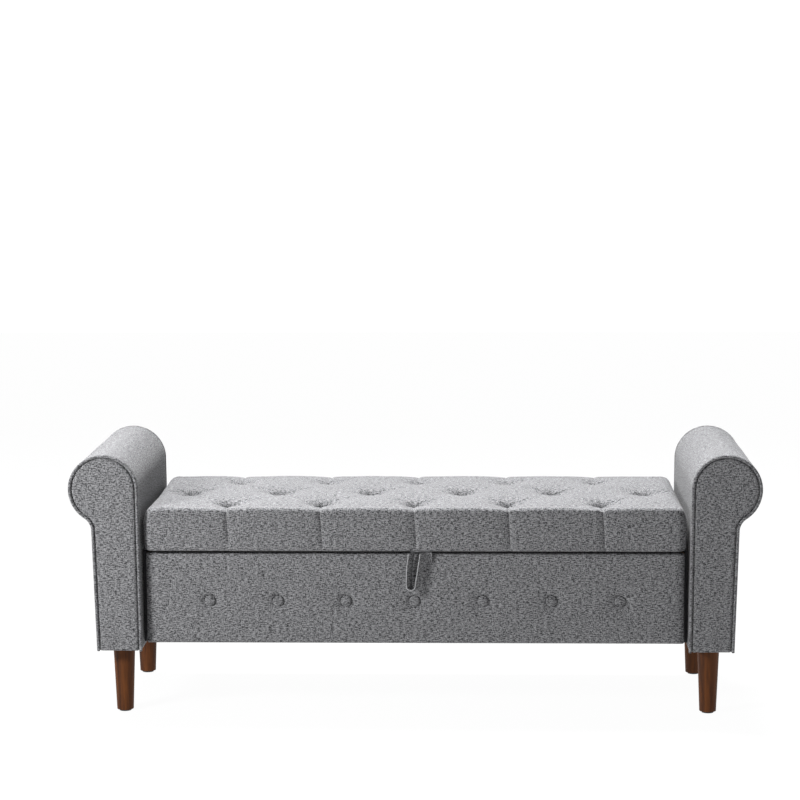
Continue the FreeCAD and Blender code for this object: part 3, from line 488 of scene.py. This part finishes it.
def piped(line: Piece, radius: float) -> Piece:
    """Turn a drawn line into round piping.

    Args:
        line: The line, a mesh of edges.
        radius: The piping's radius.

    Returns:
        The piping.
    """
    pick(line)
    bpy.ops.object.convert(target="CURVE")
    piece = bpy.context.object
    piece.data.bevel_depth = radius
    piece.data.bevel_resolution = 4
    piece.data.use_fill_caps = True
    bpy.ops.object.convert(target="MESH")
    piece = bpy.context.object
    finish_cloth(piece, 80.0)
    return piece


def copied(piece: Piece, name: str, change: Matrix) -> Piece:
    """A copy of a piece with its own mesh, changed by a matrix."""
    copy = piece.copy()
    copy.data = piece.data.copy()
    copy.name = copy.data.name = name
    bpy.context.scene.collection.objects.link(copy)
    copy.data.transform(change)
    if change.determinant() < 0:
        copy.data.flip_normals()
    return copy


def mirrored(piece: Piece, name: str, axis: int) -> Piece:
    """A copy of a piece mirrored across the middle of one axis."""
    scale = [1.0, 1.0, 1.0, 1.0]
    scale[axis] = -1.0
    return copied(piece, name, Matrix.Diagonal(scale))


def joined(pieces: list[Piece]) -> Piece:
    """The pieces as one, under the first one's name."""
    pick(*pieces)
    bpy.ops.object.join()
    return pieces[0]


def places(node: str, plane: tuple[int, int], reach: float) -> list[Vector]:
    """Where the separate solids of a frame node stand.

    Args:
        node: The node's name.
        plane: The two axes that they are spread over.
        reach: More than a solid's width, and less than the pitch.

    Returns:
        The middle of each solid, by row and then from left to right.
    """
    left = read(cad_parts[node])
    found = []
    while len(left):
        near = np.linalg.norm(left[:, list(plane)] - left[0, list(plane)], axis=1) < reach
        found.append(Vector((left[near].min(0) + left[near].max(0)) / 2))
        left = left[~near]
    return sorted(found, key=lambda p: (round(p[plane[1]], 2), p.x))


def ripple(points: np.ndarray, seed: int, height: float, length: float) -> np.ndarray:
    """A soft uneven height at each point, as hand-stretched cloth has.

    Args:
        points: Rows of three.
        seed: The seed of the waves.
        height: The largest height.
        length: The usual length of a wave.

    Returns:
        One height for each point.
    """
    rng = np.random.default_rng(seed)
    count = 7
    total = np.zeros(len(points))
    for _ in range(count):
        heading = rng.normal(size=3)
        heading /= np.linalg.norm(heading)
        stretch = 2 * math.pi / (length * rng.uniform(0.6, 1.8))
        total += np.sin(points @ heading * stretch + rng.uniform(0, 2 * math.pi))
    return total * height / count


@dataclass(frozen=True)
class Swell:
    """How cloth is blown up over its stuffing."""

    cap: float = 4 * MM
    pressure: float = 4.0
    stiffness: float = 25.0
    bending: float = 0.4
    quality: int = 4
    frames: int = 20

    def apply(self, piece: Piece, held: np.ndarray) -> None:
        """Simulate the cloth and keep what it moved, up to the cap.

        Args:
            piece: The closed and evenly meshed piece.
            held: For each point, whether it is tacked down.
        """
        rest = read(piece)
        pick(piece)
        group = piece.vertex_groups.new(name="held")
        group.add(np.nonzero(held)[0].tolist(), 1.0, "REPLACE")
        cloth = piece.modifiers.new("swell", "CLOTH")
        settings = cloth.settings
        settings.quality = self.quality
        settings.tension_stiffness = settings.compression_stiffness = self.stiffness
        settings.bending_stiffness = self.bending
        settings.use_pressure = True
        settings.uniform_pressure_force = self.pressure
        settings.effector_weights.gravity = 0.0
        settings.vertex_group_mass = group.name
        cloth.collision_settings.use_collision = False
        cloth.point_cache.frame_start, cloth.point_cache.frame_end = 1, self.frames
        for number in range(1, self.frames + 1):
            bpy.context.scene.frame_set(number)
        bpy.ops.object.modifier_apply(modifier=cloth.name)
        bpy.context.scene.frame_set(1)
        piece.vertex_groups.clear()
        moved = read(piece) - rest
        reach = np.maximum(np.linalg.norm(moved, axis=1, keepdims=True), 1e-9)
        write(piece, rest + moved * self.cap * np.tanh(reach / self.cap) / reach)


def install(shop: MaterialShop, piece: Piece, body: str, slot: Slot, nodes: list[str],
            look: Slot | None = None) -> None:
    """Fasten a finished piece to the frame.

    Args:
        shop: Where its material comes from.
        piece: The piece.
        body: The body it moves with.
        slot: The record's material slot.
        nodes: The frame nodes it stands for.
        look: The slot whose finish it has, where that isn't its own.
    """
    piece.data.materials.clear()
    piece.data.materials.append(shop.hand_out((look or slot).value))
    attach(piece, body)
    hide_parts(*nodes)
    log.info("made %s: %d faces", piece.name, len(piece.data.polygons))


# ---------------------------------------------------------------- lid
@dataclass(frozen=True)
class Crease:
    """A short fold that runs out from a stitched point."""

    angle: float
    length: float
    depth: float
    width: float
    spread: float
    sharpness: float

    def depths(self, x: np.ndarray, y: np.ndarray) -> np.ndarray:
        """How deep the fold is at points around the stitch.

        Args:
            x: The points' places to the right of the stitch.
            y: Their places past it along the cloth's other direction.

        Returns:
            One depth for each point.
        """
        along = x * math.cos(self.angle) + y * math.sin(self.angle)
        across = np.abs(y * math.cos(self.angle) - x * math.sin(self.angle))
        width = self.width + self.spread * np.maximum(along, 0)
        fade = np.where(along > 0, np.exp(-along / self.length), 0)
        return self.depth * fade * np.exp(-(across / width) ** self.sharpness)


@dataclass
class SeatCushion:
    """The lid's cover over its foam, pulled down at the tufts and folded over the edges."""

    quad: float = 5.5 * MM
    corner: float = 25 * MM
    edge: float = 5 * MM
    slack: float = 1.5 * MM
    hem: float = 40 * MM
    dip: float = 7 * MM
    dip_reach: float = 56 * MM
    well: float = 25 * MM
    well_reach: float = 8.5 * MM
    well_apron: float = 3.2
    rear_share: float = 0.5
    crown: float = 6 * MM
    fold: float = 4 * MM
    fold_left: float = 7 * MM
    fold_right: float = 1.5 * MM
    panel_left: float = 30 * MM
    panel_right: float = 9 * MM
    panel_bulge: float = 4 * MM
    fold_slant: float = 6 * MM
    gather: float = 9 * MM
    snap: float = 1.5 * MM
    side_bulge: float = 4 * MM
    side_tuck: float = 8 * MM
    strip: float = 12 * MM
    brow: float = 22 * MM
    brow_fade: float = 16 * MM
    pleats: tuple[tuple[float, float], ...] = ((22, 12), (158, 12), (215, 4), (325, 4))
    pleat_shape: tuple[float, float, float] = (3.2 * MM, 0.05, 1.2)
    end_pleat: tuple[float, float] = (150 * MM, 5 * MM)
    tacked: float = 7 * MM
    stitch: float = 8 * MM
    swell: float = 5 * MM
    seed: int = 11
    tufts: list[Vector] = field(default_factory=lambda: places("tuft_ties", (0, 1), 40 * MM))

    def block(self) -> Piece:
        """The cushion's body with a pocket below for the board."""
        low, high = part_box("lid_cover")
        board_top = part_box("lid_board")[1].z
        top = high.z - self.slack
        piece = add_block("seat_cushion", low, Vector((high.x, high.y, top)))
        bevel(piece, lambda middle, way: abs(way.z) > 0.9, self.corner, 6)
        bevel(piece, lambda middle, way: middle.z > top - MM and abs(way.z) < 0.1, self.edge, 3)
        select(piece, "FACE", lambda middle, normal: normal.z < -0.9)
        bpy.ops.mesh.inset(thickness=self.hem, depth=0)
        push(Vector((0, 0, board_top - low.z)))
        leave_edit()
        remesh(piece, self.quad)
        return piece

    def lift(self, z: np.ndarray) -> np.ndarray:
        """How much a point follows the top, from 0 at the board to 1 near the top."""
        board_top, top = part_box("lid_board")[1].z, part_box("lid_cover")[1].z
        return np.clip((z - board_top) / (0.8 * (top - board_top)), 0, 1) ** 1.5

    def rough_shape(self, piece: Piece) -> None:
        """Crown the top and dip it broadly at the tufts."""
        points = read(piece)
        low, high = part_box("lid_cover")
        x, y, z = points.T
        inner = 1 - (2 * x / (high.x - low.x)) ** 8
        inner = inner * (1 - ((2 * y - high.y - low.y) / (high.y - low.y)) ** 6)
        dip = sum(self.dip * np.exp(-((x - t.x) ** 2 + (y - t.y) ** 2) / self.dip_reach ** 2)
                  for t in self.tufts)
        points[:, 2] += (self.crown * inner - dip) * self.lift(z)
        middle = np.clip(1 - ((z - (low.z + high.z) / 2) / (0.5 * (high.z - low.z))) ** 2, 0, 1)
        outward = np.clip((np.abs(x) - high.x + 2 * self.corner) / (2 * self.corner), 0, 1)
        top = np.clip(2 * (z - low.z) / (high.z - low.z) - 1, 0, 1) ** 2
        points[:, 0] += np.sign(x) * outward * (middle * self.side_bulge - top * self.side_tuck)
        write(piece, points)

    def creases(self, tuft: Vector, rng: np.random.Generator) -> list[Crease]:
        """The folds round one tuft, each pleat given by its heading and its depth in mm."""
        found = [Crease(math.radians(base + rng.uniform(-7, 7)), rng.uniform(26, 42) * MM, deep * MM,
                        *self.pleat_shape)
                 for base, deep in self.pleats]
        ends = [t for t in self.tufts if abs(t.y - tuft.y) < MM]
        middle_row = sorted({round(t.y, 3) for t in self.tufts})[1]
        if abs(tuft.y - middle_row) < MM and tuft in (ends[0], ends[-1]):
            found.append(Crease(0.0 if tuft.x > 0 else math.pi, *self.end_pleat, *self.pleat_shape))
        return found

    def fold_lines(self, points: np.ndarray) -> np.ndarray:
        """Fold the cover from the outer tufts over the front and back edges.

        Args:
            points: The cushion's points, whose columns beside a fold are gathered onto it.

        Returns:
            How deep each point lies in a fold, from 0 to 1.
        """
        low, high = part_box("lid_cover")
        rows = sorted({round(t.y, 3) for t in self.tufts})
        deep = np.zeros(len(points))
        for tuft in self.tufts:
            if round(tuft.y, 3) == rows[0]:
                zone = np.clip((tuft.y - points[:, 1]) / self.strip, 0, 1)
            elif round(tuft.y, 3) == rows[-1]:
                zone = self.rear_share * np.clip((points[:, 1] - tuft.y) / self.strip, 0, 1)
            else:
                continue
            drop = np.clip((high.z - 4 * MM - points[:, 2]) / (high.z - low.z), 0, 1)
            line = tuft.x + self.fold_slant * drop
            off = points[:, 0] - line
            near = (np.abs(off) < self.gather) & (zone > 0)
            packed = np.maximum(np.abs(off) - self.snap, 0)
            packed = packed * self.gather / (self.gather - self.snap)
            points[:, 0] = np.where(near, line + np.sign(off) * packed, points[:, 0])
            off = points[:, 0] - line
            reach = np.where(off < 0, self.fold_left, self.fold_right)
            broad = np.where(off < 0, self.panel_left, self.panel_right)
            pull = 0.5 * np.exp(-np.abs(off) / reach) + 0.5 * np.exp(-np.abs(off) / broad)
            deep = np.maximum(deep, zone * pull)
        return deep

    def fine_shape(self, piece: Piece) -> None:
        """Sharpen the tufts, their creases and the folds."""
        points = read(piece)
        deep = self.fold_lines(points)
        board_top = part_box("lid_board")[1].z
        loose = np.clip((points[:, 2] - board_top) / self.strip, 0, 1)
        low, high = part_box("lid_cover")
        rim = np.abs(points[:, 1] - (low.y + high.y) / 2) - (high.y - low.y) / 2
        face = np.clip((rim + self.brow) / self.brow_fade, 0, 1)
        face = face * np.clip((points[:, 2] - low.z) / (4 * MM), 0, 1)
        sway = ripple(points, self.seed, 0.8 * MM, 70 * MM) * loose
        out = self.panel_bulge * (1 - deep) * face + sway
        points += read(piece, "normal") * (out - self.fold * deep * loose)[:, None]
        lift = self.lift(points[:, 2])
        rng = np.random.default_rng(self.seed)
        rear_row = max(tuft.y for tuft in self.tufts)
        for tuft in self.tufts:
            x, y = points[:, 0] - tuft.x, points[:, 1] - tuft.y
            gap = np.hypot(x, y)
            apron = 1 + self.well_apron * np.clip(-y / (gap + MM), 0, 1)
            drop = self.well * np.exp(-gap / (self.well_reach * apron))
            share = self.rear_share if tuft.y > rear_row - MM else 1.0
            folds = np.zeros(len(points))
            for crease in self.creases(tuft, rng):
                folds = np.maximum(folds, crease.depths(x, y))
            points[:, 2] -= (drop + folds) * lift * share
        write(piece, points)

    def build(self, shop: MaterialShop) -> None:
        """Make the cushion and fasten it to the lid."""
        piece = self.block()
        self.rough_shape(piece)
        points = read(piece)
        board_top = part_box("lid_board")[1].z
        low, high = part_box("lid_cover")
        rim = (points[:, 1] < low.y + self.tacked) | (points[:, 1] > high.y - self.tacked)
        held = (points[:, 2] < board_top + 2 * MM) | rim
        for tuft in self.tufts:
            held |= np.hypot(points[:, 0] - tuft.x, points[:, 1] - tuft.y) < self.stitch
        Swell(cap=self.swell).apply(piece, held)
        subdivide(piece)
        self.fine_shape(piece)
        finish_cloth(piece)
        install(shop, piece, "lid", Slot.SEAT, ["lid_cover", "lid_foam"])


# ---------------------------------------------------------------- box panels
@dataclass
class FrontPad:
    """The front panel's cover and foam, pulled in at a row of covered buttons."""

    quad: float = 5 * MM
    corner: float = 8 * MM
    edge: float = 4 * MM
    lip: float = 12 * MM
    well: float = 8 * MM
    well_reach: float = 8 * MM
    dip: float = 2.5 * MM
    dip_reach: float = 34 * MM
    under_button: float = 8 * MM
    stitch: float = 12 * MM
    face_fade: float = 6 * MM
    headings: tuple[float, ...] = (40, 140, 220, 320)
    swell: float = 1.5 * MM
    seed: int = 5
    buttons: list[Vector] = field(default_factory=lambda: places("front_buttons", (0, 2), 40 * MM))

    def build(self, shop: MaterialShop) -> None:
        """Make the pad and fasten it to the box."""
        low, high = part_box("front_cover")
        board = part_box("front_board")
        back = high.y - MM
        piece = add_block("front_pad", low, Vector((high.x, back, high.z)))
        bevel(piece, lambda middle, way: middle.y < low.y + MM and abs(way.z) > 0.9, self.corner, 4)
        bevel(piece, lambda middle, way: middle.y < low.y + MM and abs(way.x) > 0.5, self.edge, 3)
        select(piece, "FACE", lambda middle, normal: normal.y > 0.9)
        bpy.ops.mesh.inset(thickness=self.lip, depth=0)
        push(Vector((0, board[0].y - back, 0)))
        leave_edit()
        remesh(piece, self.quad)
        points = read(piece)
        held = points[:, 1] > board[0].y - MM
        held |= points[:, 2] > high.z - MM
        for button in self.buttons:
            held |= np.hypot(points[:, 0] - button.x, points[:, 2] - button.z) < self.stitch
        Swell(cap=self.swell).apply(piece, held)
        subdivide(piece)
        self.pull_in(piece, board[0].y)
        finish_cloth(piece)
        install(shop, piece, "bench", Slot.PANEL, ["front_cover", "front_foam"])

    def pull_in(self, piece: Piece, board_face: float) -> None:
        """Pull the face in at each button, with short creases round it."""
        points = read(piece)
        x, y, z = points.T
        face = np.clip((board_face - y) / self.face_fade, 0, 1)
        rng = np.random.default_rng(self.seed)
        inward = ripple(points, self.seed, 0.5 * MM, 60 * MM)
        for button in self.buttons:
            across, up = x - button.x, z - button.z
            gap = np.hypot(across, up)
            inward += self.well * np.exp(-np.maximum(gap - self.under_button, 0) / self.well_reach)
            inward += self.dip * np.exp(-(gap / self.dip_reach) ** 2)
            for base in self.headings:
                crease = Crease(math.radians(base + rng.uniform(-12, 12)), rng.uniform(14, 26) * MM,
                                depth=2.2 * MM, width=3.5 * MM, spread=0.0, sharpness=1.4)
                inward += crease.depths(across, up)
        points[:, 1] += inward * face
        write(piece, points)


@dataclass
class FrontButtons:
    """A row of dome buttons covered in the bench's cloth."""

    seat: float = 0.6 * MM
    rim: float = 1.6 * MM
    cloth: float = 0.7 * MM
    drum: float = 0.55
    dome: tuple[tuple[float, float], ...] = ((0.2, 0.55), (0.25, 0.3), (0.25, 0.12), (0.15, 0.03))

    def one(self, middle: Vector, radius: float, front: float, back: float) -> Piece:
        """One button: a disc whose front is drawn up into a dome."""
        clear_selection()
        depth = (back - front) * self.drum
        bpy.ops.mesh.primitive_cylinder_add(vertices=40, radius=radius, depth=depth,
                                            location=(middle.x, back - depth / 2, middle.z),
                                            rotation=(math.pi / 2, 0, 0))
        piece = bpy.context.object
        piece.name = piece.data.name = "covered_buttons"
        bpy.ops.object.transform_apply(location=True, rotation=True, scale=True)
        rise = back - depth - front
        select(piece, "FACE", lambda centre, normal: normal.y < -0.9)
        for share, up in self.dome:
            bpy.ops.mesh.inset(thickness=share * radius, depth=0)
            bpy.ops.transform.translate(value=(0, -up * rise, 0))
        leave_edit()
        select(piece, "FACE", lambda centre, normal: normal.y > 0.9)
        bpy.ops.mesh.inset(thickness=0.2 * radius, depth=0)
        bpy.ops.transform.translate(value=(0, self.seat, 0))
        leave_edit()
        bevel(piece, lambda centre, way: abs(math.hypot(centre.x - middle.x, centre.z - middle.z)
                                             - radius) < 0.3 * MM and abs(way.y) < 0.1, self.rim, 3)
        subdivide(piece)
        return piece

    def build(self, shop: MaterialShop) -> None:
        """Make the row and fasten it to the box."""
        low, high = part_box("front_buttons")
        middles = places("front_buttons", (0, 2), 40 * MM)
        radius = (high.z - low.z) / 2 + self.cloth
        first = self.one(middles[0], radius, low.y, low.y + 0.6 * radius)
        row = [first] + [copied(first, f"button_{number}", Matrix.Translation(middle - middles[0]))
                         for number, middle in enumerate(middles[1:])]
        piece = joined(row)
        finish_cloth(piece, 40.0)
        install(shop, piece, "bench", Slot.BUTTON, ["front_buttons"])


@dataclass
class RearPad:
    """The cloth-covered back of the box, with a thin wadding under it."""

    quad: float = 5 * MM
    edge: float = 1.2 * MM
    seed: int = 23

    def build(self, shop: MaterialShop) -> None:
        """Make the pad and fasten it to the box."""
        low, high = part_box("rear_cover")
        piece = add_block("rear_pad", low + Vector((0, MM, 0)), high)
        bevel(piece, lambda middle, way: middle.y > high.y - MM, self.edge, 3)
        remesh(piece, self.quad)
        points = read(piece)
        face = np.clip((points[:, 1] - low.y - 12 * MM) / (6 * MM), 0, 1)
        points[:, 1] -= (0.5 * MM + ripple(points, self.seed, 0.5 * MM, 90 * MM)) * face
        write(piece, points)
        finish_cloth(piece)
        install(shop, piece, "bench", Slot.PANEL, ["rear_cover"])


@dataclass
class EdgeShadeStrips:
    """Black lining strips tacked over the side boards' ends beside the padded panels, their black
    painted shade for the gap there.
    """

    thickness: float = 0.8 * MM
    lap: float = 4 * MM

    def build(self, shop: MaterialShop) -> None:
        """Make the four strips and fasten them to the box."""
        low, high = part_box("side_board_right")
        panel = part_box("front_cover")[1].x
        strips = []
        for name, y in (("front", low.y - self.thickness), ("rear", high.y)):
            strip = add_block(f"edge_strips_{name}", Vector((panel - self.lap, y, low.z)),
                              Vector((high.x, y + self.thickness, high.z)))
            bevel(strip, lambda middle, way: abs(way.z) > 0.9, 0.3 * self.thickness, 2)
            edit_all(strip)
            bpy.ops.mesh.subdivide(number_cuts=3)
            leave_edit()
            strips += [strip, mirrored(strip, f"edge_strips_{name}_left", 0)]
        piece = joined(strips)
        # The strips' black lining finish is painted shade for the dark gap beside the padded panels.
        install(shop, piece, "bench", Slot.LINING, [])


# ---------------------------------------------------------------- arms
class DrawnLine:
    """A line drawn from point to point, with its round stretches spun about their centres."""

    def __init__(self, name: str, start: Vector) -> None:
        """Start the line at a point."""
        clear_selection()
        bpy.ops.mesh.primitive_plane_add(size=MM, location=start)
        self.piece = bpy.context.object
        self.piece.name = self.piece.data.name = name
        bpy.ops.object.transform_apply(location=True, rotation=True, scale=True)
        edit_all(self.piece)
        bpy.ops.mesh.select_mode(type="VERT")
        bpy.ops.mesh.merge(type="CENTER")
        self.end = start.copy()

    def to(self, point: Vector) -> None:
        """Run straight on to a point."""
        bpy.ops.mesh.extrude_vertices_move(TRANSFORM_OT_translate={"value": point - self.end})
        self.end = point.copy()

    def round(self, centre: Vector, angle: float, steps: int) -> None:
        """Run on round a centre, from the right side up for a positive angle."""
        bpy.ops.mesh.spin(steps=steps, angle=angle, center=centre, axis=(0, 1, 0))
        self.end = centre + Matrix.Rotation(-angle, 3, "Y") @ (self.end - centre)

    def done(self) -> Piece:
        """The line as a piece."""
        leave_edit()
        return self.piece

    def thickened(self, depth: float) -> Piece:
        """The line closed, filled as a flat face and drawn out along Y."""
        bpy.ops.mesh.select_all(action="SELECT")
        bpy.ops.mesh.edge_face_add()
        push(Vector((0, depth, 0)))
        bpy.ops.mesh.select_all(action="SELECT")
        bpy.ops.mesh.normals_make_consistent(inside=False)
        leave_edit()
        return self.piece


@dataclass
class RolledArms:
    """Both arms: the wrap over the roll, the facings at its ends and the piping round them."""

    roll: float = 81 * MM
    neck: float = 35 * MM
    outer: float = 740 * MM
    flare: float = 8 * MM
    facing_inset: float = 8.5 * MM
    facing_edge: float = 4.6 * MM
    piping: float = 3.4 * MM
    quad: float = 5.5 * MM
    facing_quad: float = 2.8 * MM
    cloth: float = 0.6 * MM
    tacked_end: float = 8 * MM
    tacked_side: float = 6 * MM
    end_ease: float = 30 * MM
    swell: float = 2.5 * MM
    seed: int = 31

    def draw(self, name: str, y: float, inset: float) -> DrawnLine:
        """Draw the right arm's outline from its inner foot over the roll to its outer foot.

        Args:
            name: The piece's name.
            y: The place of its plane.
            inset: How far inside the cover it lies.

        Returns:
            The line, still open along the foot.
        """
        low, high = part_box("arm_right_cover")
        centre = Vector((high.x - self.roll, y, high.z - self.roll))
        roll = self.roll - inset
        start = Vector((low.x + inset, y, low.z))
        off = start - centre
        touch = math.atan2(off.z, off.x) % (2 * math.pi) - math.acos(roll / off.length)
        aside = self.outer + self.flare + self.neck - centre.x
        below = math.sqrt((self.roll + self.neck) ** 2 - aside ** 2)
        neck_centre = centre + Vector((aside, 0, -below))
        meet = math.atan2(-below, aside)
        line = DrawnLine(name, start)
        line.to(centre + roll * Vector((math.cos(touch), 0, math.sin(touch))))
        line.round(centre, meet - touch, 96)
        line.round(neck_centre, math.pi - (meet + math.pi), 16)
        line.to(Vector((line.end.x - self.flare, y, low.z)))
        return line

    def wrap(self) -> Piece:
        """The right arm's cover over its foam."""
        low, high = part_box("arm_right_cover")
        piece = self.draw("arm_wrap_right", low.y, self.cloth).thickened(high.y - low.y)
        remesh(piece, self.quad)
        points = read(piece)
        held = np.abs(points[:, 1]) > high.y - self.tacked_end
        held |= points[:, 2] < low.z + self.tacked_side
        held |= points[:, 0] < low.x + self.tacked_side
        Swell(cap=self.swell).apply(piece, held)
        points = read(piece)
        inside = np.clip((high.y - 4 * MM - np.abs(points[:, 1])) / self.end_ease, 0, 1)
        sway = ripple(points, self.seed, 0.9 * MM, 110 * MM) * inside
        points += read(piece, "normal") * sway[:, None]
        points[:, 0] = np.maximum(points[:, 0], low.x + 0.4 * MM)
        write(piece, points)
        finish_cloth(piece)
        return piece

    def facing(self) -> Piece:
        """The padded panel on the front of the right arm."""
        low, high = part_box("arm_right_front_facing")
        outline = self.draw("arm_facing_front_right", high.y + MM, self.facing_inset)
        piece = outline.thickened(low.y - high.y - MM)
        bevel(piece, lambda middle, way: middle.y < low.y + 0.1 * MM, self.facing_edge, 4)
        remesh(piece, self.facing_quad)
        points = read(piece)
        face = np.clip((high.y - points[:, 1]) / (4 * MM), 0, 1)
        points[:, 1] += ripple(points, self.seed + 1, 0.5 * MM, 60 * MM) * face
        write(piece, points)
        finish_cloth(piece)
        return piece

    def welt(self) -> Piece:
        """The piping round the front of the right arm."""
        low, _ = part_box("arm_right_welts")
        line = self.draw("arm_piping_right", low.y + self.piping, self.piping)
        return piped(line.done(), self.piping)

    def build(self, shop: MaterialShop) -> None:
        """Make both arms and fasten them to the bench."""
        wrap, facing, welt = self.wrap(), self.facing(), self.welt()
        rear = mirrored(facing, "arm_facing_rear_right", 1)
        welt = joined([welt, mirrored(welt, "rear_piping", 1)])
        for piece, slot, nodes in (
            (wrap, Slot.ARM, ("cover", "foam")),
            (facing, Slot.FACING, ("front_facing",)),
            (rear, Slot.FACING, ("rear_facing",)),
            (welt, Slot.WELT, ("welts",)),
        ):
            other = mirrored(piece, piece.name.replace("right", "left"), 0)
            for side, made in (("right", piece), ("left", other)):
                install(shop, made, "bench", slot, [f"arm_{side}_{n}" for n in nodes])


# ---------------------------------------------------------------- strap
@dataclass
class PullStrap:
    """The loop of tape that lifts the lid."""

    tape: float = 22 * MM
    turn: float = math.radians(35)
    thickness: float = 2.4 * MM
    root: float = 22.6 * MM
    root_half: float = 13.3 * MM
    foot: float = 13.8 * MM
    foot_half: float = 10 * MM
    bow: float = 2 * MM
    tab: float = 23 * MM
    tab_gap: float = 5 * MM
    # Radius of the pale piping on the loop's front edge: partly a binding, partly painted highlight.
    binding: float = 1.3 * MM
    edge: float = 0.6 * MM
    steps: int = 8

    def draw(self, name: str, y: float) -> DrawnLine:
        """Draw the loop as seen from the front, down its left leg and up its right one.

        Args:
            name: The line's name.
            y: Where the line lies, from front to back.

        Returns:
            The line.
        """
        low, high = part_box("pull_strap")
        steps = self.steps
        foot = Vector((low.x + self.foot, y, low.z + self.foot_half + self.thickness / 2))
        root = Vector((low.x + self.root, y, high.z))
        foot_side, root_side = Vector((self.foot_half, 0, 0)), Vector((self.root_half, 0, 0))
        line = DrawnLine(name, root - root_side)
        for step in range(1, steps + 1):
            share = step / steps
            bend = Vector((-self.bow * math.sin(math.pi * share), 0, 0))
            line.to((root - root_side).lerp(foot - foot_side, share) + bend)
        line.round(foot, math.pi, 14)
        for step in range(1, steps + 1):
            line.to((foot + foot_side).lerp(root + root_side, step / steps))
        return line

    def build(self, shop: MaterialShop) -> None:
        """Make the loop with its pale front edge, partly a binding and partly painted highlight, and
        its turned end, and hang it from its anchor.
        """
        low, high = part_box("pull_strap")
        line = self.draw("strap_loop", low.y)
        bpy.ops.mesh.select_all(action="SELECT")
        push(Vector((self.tape * math.sin(self.turn), high.y - low.y, 0)))
        piece = line.done()
        apply_modifier(piece, "SOLIDIFY", thickness=self.thickness, offset=0.0)
        apply_modifier(piece, "BEVEL", width=self.edge, segments=2, limit_method="ANGLE")
        root = low.x + self.root + self.root_half
        start = Vector((root + self.tab_gap, high.y - self.thickness, high.z - self.tab))
        tab = add_block("strap_tab", start, start + Vector((self.tape, self.thickness, self.tab)))
        bevel(tab, lambda middle, way: True, self.edge, 2)
        piece = joined([piece, tab])
        finish_cloth(piece, 50.0)
        install(shop, piece, "pull_strap", Slot.TAPE, ["pull_strap"], look=Slot.SEAT)
        # The pale tape piping on the loop's front edge alone is partly a real bound edge and partly
        # painted highlight where that edge catches the light.
        edge = piped(self.draw("strap_binding", low.y + self.binding / 2).done(), self.binding)
        install(shop, edge, "pull_strap", Slot.TAPE, [])


# ---------------------------------------------------------------- stage
@dataclass(frozen=True)
class Stage:
    """The pale floor and backdrop, the soft studio light and the camera."""

    floor_size: float = 40.0
    floor_glow: float = 0.97
    floor_tone: float = 0.03
    backdrop_y: float = 9.0
    backdrop_glow: float = 1.1
    backdrop_tone: float = 0.3
    sky: float = 0.15
    sun: float = 16.5
    sun_spread: float = math.radians(24)
    sun_tilt: tuple[float, float] = (math.radians(-24), math.radians(-9))
    key: float = 78.0
    key_size: float = 0.45
    key_place: Colour = (-2.1, -1.7, 1.5)
    key_aim: Colour = (-0.4, -0.2, 0.35)
    camera_place: Colour = (0.1578, -5.5581, 1.4204)
    yaw: float = -0.0354
    pitch: float = 0.1265
    roll: float = -0.0051
    lens: float = 105.3

    def sheet_of(self, name: str, glow: float, tone: float, **place: Any) -> None:
        """A large plain surface of the studio, which glows so that it stays white."""
        clear_selection()
        bpy.ops.mesh.primitive_plane_add(size=self.floor_size, **place)
        piece = bpy.context.object
        piece.name = name
        shader = Shader(name, {"Base Color": (tone, tone, tone, 1), "Roughness": 1.0,
                               "Specular IOR Level": 0.0, "Emission Color": (1, 1, 1, 1),
                               "Emission Strength": glow})
        piece.data.materials.append(shader.material)

    def light(self) -> None:
        """A soft light from above and behind, and a small one from the front left."""
        world = bpy.data.worlds.new("studio")
        world.use_nodes = True
        background = world.node_tree.nodes["Background"]
        background.inputs["Color"].default_value = (1, 1, 1, 1)
        background.inputs["Strength"].default_value = self.sky
        bpy.context.scene.world = world
        bpy.ops.object.light_add(type="SUN", rotation=(*self.sun_tilt, 0))
        sun = bpy.context.object.data
        sun.energy, sun.angle = self.sun, self.sun_spread
        aim = Vector(self.key_aim) - Vector(self.key_place)
        bpy.ops.object.light_add(type="AREA", location=self.key_place,
                                 rotation=aim.to_track_quat("-Z", "Y").to_euler())
        key = bpy.context.object.data
        key.size, key.energy = self.key_size, self.key

    def camera(self) -> None:
        """The camera, in front and a little above."""
        cam = bpy.data.cameras.new("camera")
        cam.lens, cam.sensor_width, cam.clip_end = self.lens, 36.0, 100.0
        eye = bpy.data.objects.new("camera", cam)
        bpy.context.scene.collection.objects.link(eye)
        ahead = Vector((math.sin(self.yaw) * math.cos(self.pitch),
                        math.cos(self.yaw) * math.cos(self.pitch), -math.sin(self.pitch)))
        right = Vector((math.cos(self.yaw), -math.sin(self.yaw), 0))
        up = right.cross(ahead)
        across = math.cos(self.roll) * right + math.sin(self.roll) * up
        upward = -math.sin(self.roll) * right + math.cos(self.roll) * up
        turned = Matrix((across, upward, -ahead)).transposed().to_4x4()
        eye.matrix_world = Matrix.Translation(self.camera_place) @ turned
        bpy.context.scene.camera = eye

    def build(self) -> None:
        """Set the whole stage."""
        self.sheet_of("floor", self.floor_glow, self.floor_tone, location=(0, 0, 0))
        self.sheet_of("backdrop", self.backdrop_glow, self.backdrop_tone,
                      location=(0, self.backdrop_y, 0), rotation=(math.pi / 2, 0, 0))
        self.light()
        self.camera()
        scene = bpy.context.scene
        scene.view_settings.view_transform = "Standard"
        scene.view_settings.look = "None"


def main() -> None:
    """Build the stage, the finishes and every soft piece."""
    logging.basicConfig(level=logging.INFO, format="%(message)s")
    Stage().build()
    shop = MaterialShop()
    shop.dress_frame()
    SeatCushion().build(shop)
    FrontPad().build(shop)
    FrontButtons().build(shop)
    RearPad().build(shop)
    EdgeShadeStrips().build(shop)
    RolledArms().build(shop)
    PullStrap().build(shop)
    clear_selection()


if __name__ == "__main__":
    main()
